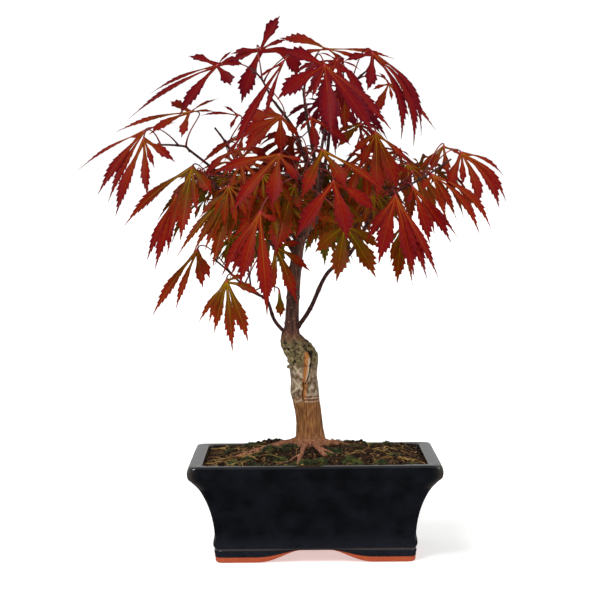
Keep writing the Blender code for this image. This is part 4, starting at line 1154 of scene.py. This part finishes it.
def near_seats(seat, rng):
    """A leaf's own seat, then places close to it, further and further off, mostly in depth."""
    x, y, z, heading, lean, span, *turned = seat
    seats = [seat]
    for i in range(NEAR_TRIES):
        off = i / NEAR_TRIES
        seats.append((x + rng.uniform(-3, 3), y + rng.uniform(-1, 1) * (8 + 30 * off),
                      z + rng.uniform(-3, 3), heading + rng.uniform(-1, 1) * (8 + 16 * off),
                      lean + rng.uniform(-1, 0.6) * (6 + 20 * off),
                      span * (1 - rng.uniform(0, 0.08 + 0.17 * off)), *turned))
    return seats


def in_solid(seat, tree):
    """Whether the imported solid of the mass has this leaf: its hub and the tips of its long lobes."""
    _, _, normal = blade_axes(seat)
    if tree.find(Vector(seat[:3]) + normal * LEAF_THICK)[2] > FIT:
        return False
    tips = [lobe_line(seat, angle, share, LONG_STOPS)[-1][0] for angle, share in LOBES if share > SHORT_LOBE]
    return sum(tree.find(tip)[2] < FIT for tip in tips) >= 2


def in_front_view(point, y=0.0):
    """The place at depth y that hides behind this point, seen from the camera."""
    away = (y - CAMERA[1]) / (point.y - CAMERA[1])
    return Vector((CAMERA[0] + (point.x - CAMERA[0]) * away, y, CAMERA[2] + (point.z - CAMERA[2]) * away))


def in_opening(point):
    """Whether a point would close one of the crown's openings."""
    seen = in_front_view(point)
    return any(((seen.x - x) / half_x) ** 2 + ((seen.z - z) / half_z) ** 2 < 1
               for x, z, half_x, half_z in OPENINGS)


def grown_leaf(seat, tone, rng):
    """A leaf whose lobes spread and sag by the rule; a lobe that would close an opening stays short."""
    ahead, _, normal = blade_axes(seat)
    lobes = []
    for angle, share in LOBES:
        sag_by = rng.uniform(0.9, 1.2) + abs(angle) / 400
        curl = rng.uniform(-0.16, 0.16)
        half = GROWN_HALF * rng.uniform(0.8, 1.2)
        for cut in SHORTENED:
            own = (*seat[:5], seat[5] * cut, *seat[6:])
            route = partial(lobe_line, own, angle, share, sag_by=sag_by, curl=curl)
            if not any(in_opening(point) for point, _, _ in route([0.45, 0.7, 1.0])):
                break
        lobes.append((route, own[5] * share, half / cut ** 0.5))
    return {"hub": Vector(seat[:3]), "ahead": ahead, "normal": normal, "span": seat[5], "lobes": lobes,
            "tone": tone}


def hung_leaf(seat, own_seat, hang, tone):
    """A leaf whose lobes hang as the front view shows them, at the depth where the solid has it."""
    hub = in_front_view(Vector(own_seat[:3]), seat[1])
    normal = (blade_axes(seat)[2] + Vector((0, -0.6, 0))).normalized()
    if normal.y > -0.4:
        normal = (normal + Vector((0, -1, 0))).normalized()
    lobes = [(partial(hung_line, hub, normal, lobe), lobe[1], lobe[2]) for lobe in hang]
    middle = sum((route([0.5])[0][0] - hub for route, _, _ in lobes), Vector())
    ahead = (middle - normal * middle.dot(normal)).normalized()
    return {"hub": hub, "ahead": ahead, "normal": normal, "span": max(lobe[1] for lobe in hang),
            "lobes": lobes, "tone": tone}


def heart_sprays(name, stem, rng):
    """Finer twigs from a bough's end and its stem, each with small leaves that fill the crown's heart."""
    if name not in HEART:
        return []
    count, mid_x, mid_z, half_x, half_z = HEART[name]
    low, high = ((corner - POT_PLACE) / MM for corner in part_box(name))

    def fits(point):
        seen = in_front_view(point)
        return (all(low[i] < point[i] < high[i] for i in range(3)) and not in_opening(point)
                and ((seen.x - mid_x) / half_x) ** 2 + ((seen.z - mid_z) / half_z) ** 2 < 2.6)

    bough = [Vector(p) for p in smooth_path(BOUGHS[MASSES[name][0]][0], 4)]
    wood = bough[len(bough) // 2:] + stem
    sprays = []
    for number in range(count):
        start = wood[round((number + 0.5) / count * (len(wood) - 1))]
        for _ in range(SPRAY_TRIES):
            turn = rng.uniform(0, math.tau)
            tip = Vector((mid_x + half_x * 0.75 * math.cos(turn) * rng.random() ** 0.5,
                          start.y + rng.uniform(-24, 24),
                          mid_z + half_z * rng.uniform(-0.3, 0.9)))
            if (tip - start).length < SPRAY_REACH and fits(tip):
                break
        else:
            continue
        leaves = []
        out = tip - start
        for turn in SPRAY_TURNS:
            heading = math.degrees(math.atan2(out.y, out.x)) + turn + rng.uniform(-22, 22)
            for _ in range(SPRAY_TRIES):
                away = rng.uniform(9, 19)
                hub = tip + Vector((math.cos(math.radians(heading)) * away,
                                    math.sin(math.radians(heading)) * away, rng.uniform(0, 9)))
                seat = (*hub, heading + rng.uniform(-20, 20), rng.uniform(38, 66), rng.uniform(27, 44))
                ends = [lobe_line(seat, angle, share, [1.0])[-1][0] for angle, share in LOBES[1:-1]]
                if fits(hub) and all(map(fits, ends)):
                    shade = rng.uniform(0, 3.2)
                    leaves.append(grown_leaf(seat, (shade, shade + rng.uniform(0.6, 2.8)), rng))
                    leaves[-1]["start"] = tip
                    break
        if leaves:
            bend = start.lerp(tip, 0.5) + Vector((0, 0, 4))
            sprays.append((smooth_path([tuple(start), tuple(bend), tuple(tip)], 4), leaves))
    return sprays


def leaves_of(name):
    """The stem of a mass and its leaves, by the rule that seated them in the solid."""
    bough, lead, front, more = MASSES[name]
    stem = stem_of(bough, lead)
    rng = random.Random(f"{name} {SEED}")
    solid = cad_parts[name].data.vertices
    tree = KDTree(len(solid))
    for vert in solid:
        tree.insert((vert.co - POT_PLACE) / MM, vert.index)
    tree.balance()
    ways = [near_seats(seat, rng) for seat in front]
    ways += [grown_seats(stem, place, more, rng) for place in range(more)]
    nodes = stem_nodes(stem)
    leaves = []
    for place, seats in enumerate(ways):
        seat = next((seat for seat in seats if in_solid(seat, tree)), None)
        if seat is None:
            continue
        if place < len(front):
            leaf = hung_leaf(seat, front[place], HANG[name][place], TONES[name][place])
        else:
            shade = 7.6 * step_up(seat[2], 250, 385) + rng.uniform(-1, 1)
            leaf = grown_leaf(seat, (shade, shade + rng.uniform(0.8, 2.2)), rng)
        node = best_node(nodes, seat)
        nodes.remove(node)
        leaf["start"] = node[0]
        leaves.append(leaf)
    for hub, tone, lobes in MORE.get(name, []):
        seat = (*hub, -90, 60, lobes[0][1])
        leaf = hung_leaf(seat, seat, lobes, tone)
        leaf["start"] = min((node[0] for node in nodes), key=lambda place: (place - leaf["hub"]).length)
        leaves.append(leaf)
    sprays = heart_sprays(name, stem, rng)
    return stem, leaves + [leaf for _, spray in sprays for leaf in spray], [path for path, _ in sprays]


def half_width(share):
    """Half the width of a lobe at a share of its length, between the places where it is named."""
    for (low, narrow), (high, wide) in zip(LOBE_SHAPE, LOBE_SHAPE[1:]):
        if share <= high:
            t = max(0.0, (share - low) / (high - low))
            return narrow + (wide - narrow) * t * t * (3 - 2 * t)
    return LOBE_SHAPE[-1][1]


def build_leaf(leaf, rng):
    """One blade with its midribs: points, faces, and for each face its kind and its place in the tints."""
    hub, ahead, normal, span, tone = (leaf[key] for key in ("hub", "ahead", "normal", "span", "tone"))
    across = normal.cross(ahead)
    neck = hub - ahead * span * NOTCH
    fold = rng.uniform(0.2, 0.5)
    verts = [hub + normal * LEAF_SKIN, hub - normal * LEAF_SKIN]
    faces = []
    rim = [len(verts)]
    verts.append(neck - across * STALK_RADIUS)
    starts = [(route([0.15])[0][1], length) for route, length, _ in leaf["lobes"]]
    for (one, length), (other, other_length) in zip(starts, starts[1:]):
        rim.append(len(verts))
        verts.append(hub + (one + other) * 0.5 * SINUS * min(length, other_length) * rng.uniform(0.9, 1.2))
    rim.append(len(verts))
    verts.append(neck + across * STALK_RADIUS)
    ribs = []

    def add_face(kind, tint, *corners):
        faces.append((corners, kind, tint))

    for number, (route, length, half) in enumerate(leaf["lobes"]):
        teeth = max(8, round(length / TOOTH_SPACING))
        first = SINUS
        stops = [first] + [first + (0.985 - first) * (k / teeth) ** 0.96 for k in range(1, teeth + 1)] + [1.0]
        twist = rng.uniform(-0.5, 0.5)
        lobe_tone = rng.uniform(-0.35, 0.35)
        left, right = rim[number], rim[number + 1]
        middle_rows = []
        before = None
        for k, (share_here, (point, way, side)) in enumerate(zip(stops, route(stops))):
            side = (side - way * side.dot(way)).normalized()
            turn = twist * share_here
            side = side * math.cos(turn) + way.cross(side) * math.sin(turn)
            up = way.cross(side)
            width = half_width(share_here) * length * half
            body = LEAF_SKIN * (1 - 0.7 * share_here)
            at = len(verts)
            if k == len(stops) - 1:
                verts.append(point)
                here = (at, at, at, at, at, at)
                middle_rows.append((point, up, share_here))
            else:
                toothed = 0.26 < share_here < 0.9
                reach = []
                for odd, sign in ((k % 2, -1), ((k + 1) % 2, 1)):
                    scale = 1 + TOOTH * (0.6 if odd else -0.7) * toothed
                    ahead_by = VEIN_SLANT * width + TOOTH_FORWARD * length * (1 if odd else -0.3) * toothed
                    reach.append(point + side * sign * width * scale + way * ahead_by + up * width * fold)
                puff = 0.22 * body * (1 if k % 2 else -1)
                rise = width * fold * 0.66 + body * 0.55
                middle = point + way * VEIN_SLANT * width * 0.62
                verts += [reach[0], middle - side * width * 0.64 + up * (rise + puff), point + up * body,
                          middle + side * width * 0.64 + up * (rise - puff), reach[1], point - up * body]
                here = tuple(range(at, at + 6))
                middle_rows.append((point + up * body, up, share_here))
            if k == 0:
                # The first row joins the palm of the hand: its rims are the notches to the next lobes.
                here = (left, here[1], here[2], here[3], right, here[5])
                verts[here[1]] = (verts[left] + verts[here[2]]) / 2 + up * 0.1
                verts[here[3]] = (verts[right] + verts[here[2]]) / 2 + up * 0.1
                tint = tone[0] + lobe_tone
                for a, b in zip(here[:4], here[1:5]):
                    add_face("top", tint, 0, a, b)
                add_face("under", tint, 1, here[5], left)
                add_face("under", tint, 1, right, here[5])
            else:
                mean = (share_here + stops[k - 1]) / 2
                # The blade reddens towards its tip and is lighter along every other side vein. Its edge is
                # darker red: partly the leaf's own redder margin, partly painted shade that parts overlapping
                # lobes.
                row_tone = tone[0] + lobe_tone + rng.uniform(-0.1, 0.1) + (0.2 if k % 2 else -0.2)
                row_tone += (tone[1] - tone[0]) * step_up(mean, 0.05, 0.9)
                for j, (a, b, c, d) in enumerate(zip(before[:4], before[1:5], here[1:5], here[:4])):
                    add_face("top", row_tone + (1.2 if j in (0, 3) else -0.6 * (1 - mean)), a, b, c, d)
                tint = tone[0] + (tone[1] - tone[0]) * mean
                add_face("under", tint, before[5], before[0], here[0], here[5])
                add_face("under", tint, before[4], before[5], here[5], here[4])
            before = here
        ribs.append((middle_rows, length))
    add_face("under", tone[0], 1, rim[0], rim[-1])
    add_face("top", tone[0], 0, rim[-1], rim[0])
    add_ribs(verts, faces, hub + normal * LEAF_SKIN, neck, ribs, tone)
    return verts, faces


def add_ribs(verts, faces, hub, neck, ribs, tone):
    """A raised rib along the middle of each lobe, from the stalk out, as a slim lens with four sides."""
    for rows, length in ribs:
        rows = [(neck.lerp(hub, 0.5), rows[0][1], 0.0), *rows[:-2:2]]
        ring = None
        for k, (point, up, at) in enumerate(rows):
            ahead = (rows[min(k + 1, len(rows) - 1)][0] - rows[max(k - 1, 0)][0]).normalized()
            side = ahead.cross(up).normalized()
            wide = (0.46 - 0.34 * at) * (0.25 + 0.75 * length / 60)
            tall = 0.34 - 0.2 * at
            here = list(range(len(verts), len(verts) + 4))
            verts += [point + side * wide, point + up * tall, point - side * wide, point - up * tall]
            if ring:
                for j in range(4):
                    corners = (ring[j], ring[(j + 1) % 4], here[(j + 1) % 4], here[j])
                    faces.append((corners, "rib", tone[0] + (tone[1] - tone[0]) * at))
            else:
                faces.append((tuple(reversed(here)), "rib", tone[0]))
            ring = here
        faces.append((tuple(ring), "rib", tone[1]))


def tint_ramp(kind, colours, steps, **sockets):
    """Plain materials for a row of tints, with even steps between the named ones."""
    count = (len(colours) - 1) * steps + 1
    ramp = []
    for k in range(count):
        low = min(k // steps, len(colours) - 2)
        share = k / steps - low
        mat, shader = new_material(f"{kind}_{k:02d}", colours[0], **sockets)
        a, b = linear(colours[low]), linear(colours[low + 1])
        shader.inputs["Base Color"].default_value = [p + (q - p) * share for p, q in zip(a, b)]
        ramp.append(mat)
    return ramp


def place_in(ramp, tone):
    """The material of a ramp for a tone from 0, shade, to 10, full sun."""
    return ramp[round(min(max(tone / 10, 0.0), 1.0) * (len(ramp) - 1))]


def leaf_stalk():
    """A living leaf stalk: smooth, wine red and a little shiny, paler where the sap shows through."""
    mat, shader = new_material("red_leaf_stalk", "7a1c1e", Roughness=0.4, Specular_IOR_Level=0.45)
    place = add_node(mat, "TexCoord").outputs["Object"]
    colour, _ = grained(mat, place, 12, [(0.35, "4d1416"), (0.52, "7c1f20"), (0.68, "a4412c")], Detail=2)
    return dressed(mat, shader, colour)


# A leaf's skin is waxy: satin on top, so that it shines softly where it bends, and matt underneath.
leaf_ramps = {
    "top": tint_ramp("maple_leaf_top", TINTS, 3, Roughness=0.42, Specular_IOR_Level=0.06),
    "under": tint_ramp("maple_leaf_under", UNDER_TINTS, 2, Roughness=0.7, Specular_IOR_Level=0.03),
    "rib": tint_ramp("maple_leaf_rib", RIB_TINTS, 2, Roughness=0.5, Specular_IOR_Level=0.08)}
stalk_skin = leaf_stalk()
joint_skin = new_material("leaf_joint", "b5303a", Roughness=0.45)[0]


def add_leaves(name, leaves, nodes):
    """Join the leaves of a mass into one piece; each face has one plain tint."""
    verts = []
    faces = []
    mats = []
    face_mats = []
    for leaf_verts, leaf_faces in leaves:
        for corners, kind, tone in leaf_faces:
            mat = place_in(leaf_ramps[kind], tone)
            if mat not in mats:
                mats.append(mat)
            faces.append(list(dict.fromkeys(corner + len(verts) for corner in corners)))
            face_mats.append(mats.index(mat))
        verts += leaf_verts
    add_piece(name, verts, faces, mats, "maple_leaf", nodes, face_mats, sharp=60)


def add_twigs(name, stem, leaves, shoots, nodes, rng):
    """Join the shoot of a mass with its leaf stalks and the joint where each stalk meets its blade."""
    shoot = [stem[0] - (stem[1] - stem[0]).normalized() * 2.5, *stem]
    shapes = [limb_shape(smooth_path([tuple(p) for p in shoot], 3), STEM_RADIUS, STALK_RADIUS, rng, 10)]
    for shoot in shoots:
        shapes.append(limb_shape(shoot, 0.8, 0.5, rng, 8))
    kinds = [0] * sum(len(shape[1]) for shape in shapes)
    for leaf in leaves:
        route = stalk_route(leaf["start"], leaf)
        stalk = loft(tube_rings(route, 7, lambda row, _: STALK_WIDTHS[row]))
        joint = bud(leaf["hub"] + leaf["normal"] * 0.2 - leaf["ahead"] * 1.4, leaf["ahead"], 2.6)
        shapes += [stalk, joint]
        kinds += [1] * len(stalk[1]) + [2] * len(joint[1])
    verts, faces = gather(shapes)
    add_piece(name, verts, faces, [limb_skin, stalk_skin, joint_skin], "young_maple_bark", nodes, kinds)


for mass_name in MASSES:
    mass_stem, mass_leaves, mass_shoots = leaves_of(mass_name)
    mass_rng = random.Random(mass_name)
    add_leaves(mass_name.replace("foliage", "leaves"), [build_leaf(leaf, mass_rng) for leaf in mass_leaves],
               [mass_name])
    add_twigs(mass_name.replace("foliage", "twigs"), mass_stem, mass_leaves, mass_shoots, [mass_name],
              mass_rng)


# Studio. The plant stands on a white table that is lit from below as well, in soft light from the upper
# left and right, with white behind it and a dark room in front. The camera is at the photograph's place.
FLOOR_HALF = 60000.0
CAMERA_PITCH = 3.07
CAMERA_ROLL = 0.45
FOCAL_PIXELS = 1899.0
FRAME_PIXELS = 600.0
SENSOR = 36.0
TABLE_GLOW = 0.5
ROOM_LIGHT = 0.45
ROOM_DARK = 0.04


def build_floor():
    """A plain white table top."""
    mat, _ = new_material("white_table", "f4f4f2", Roughness=0.6, Specular_IOR_Level=0.0,
                          Emission_Color=(1, 1, 1, 1), Emission_Strength=TABLE_GLOW)
    mesh = bpy.data.meshes.new("table")
    corners = [Vector((x, y, 0)) * FLOOR_HALF * MM for x, y in ((-1, -1), (1, -1), (1, 1), (-1, 1))]
    mesh.from_pydata(corners, [], [(0, 1, 2, 3)])
    mesh.materials.append(mat)
    table = bpy.data.objects.new("table", mesh)
    bpy.context.scene.collection.objects.link(table)
    table.visible_glossy = False


def add_lamp(name, toward, spread, strength):
    """A broad far lamp that shines evenly from one direction; spread is its width in degrees."""
    lamp = bpy.data.lights.new(name, "SUN")
    lamp.angle = math.radians(spread)
    lamp.energy = strength
    holder = bpy.data.objects.new(name, lamp)
    bpy.context.scene.collection.objects.link(holder)
    holder.rotation_mode = "QUATERNION"
    holder.rotation_quaternion = Vector(toward).to_track_quat("Z", "Y")


def build_room():
    """White all round; only what the glaze and the leaves mirror is the dark room behind the camera."""
    world = bpy.data.worlds.new("white_studio")
    world.use_nodes = True
    back = world.node_tree.nodes["Background"]
    rays = add_node(world, "LightPath")
    way = add_node(world, "SeparateXYZ", {}, {"Vector": add_node(world, "TexCoord").outputs["Generated"]})
    front = add_node(world, "MapRange", {"From Min": 0.25, "From Max": -0.05}, {"Value": way.outputs["Y"]})
    above = add_node(world, "MapRange", {"From Min": 0.8, "From Max": 0.5}, {"Value": way.outputs["Z"]})
    front = add_node(world, "Math", {"operation": "MULTIPLY"}, {0: front.outputs[0], 1: above.outputs[0]})
    below = add_node(world, "MapRange", {"From Min": 0.05, "From Max": -0.05}, {"Value": way.outputs["Z"]})
    dark = add_node(world, "Math", {"operation": "MAXIMUM"}, {0: front.outputs[0], 1: below.outputs[0]})
    mirrored = add_node(world, "MapRange", {"To Min": ROOM_LIGHT, "To Max": ROOM_DARK},
                        {"Value": dark.outputs[0]})
    lit = add_node(world, "Mix", {2: ROOM_LIGHT}, {0: rays.outputs["Is Glossy Ray"], 3: mirrored.outputs[0]})
    seen = add_node(world, "Mix", {3: 1.05}, {0: rays.outputs["Is Camera Ray"], 2: lit.outputs[0]})
    world.node_tree.links.new(seen.outputs[0], back.inputs["Strength"])
    back.inputs["Color"].default_value = (1, 1, 1, 1)
    bpy.context.scene.world = world


build_floor()
add_lamp("key_lamp", (-0.5, -0.75, 1.0), 24, 1.5)
add_lamp("side_lamp", (0.9, -0.4, 0.8), 30, 0.5)
build_room()
bpy.context.scene.view_settings.view_transform = "Standard"
camera = bpy.data.cameras.new("camera")
camera.sensor_width = SENSOR
camera.lens = SENSOR * FOCAL_PIXELS / FRAME_PIXELS
camera_holder = bpy.data.objects.new("camera", camera)
bpy.context.scene.collection.objects.link(camera_holder)
camera_holder.location = Vector(CAMERA) * MM + POT_PLACE
camera_holder.rotation_euler = (math.radians(90 - CAMERA_PITCH), math.radians(CAMERA_ROLL), 0)
bpy.context.scene.camera = camera_holder
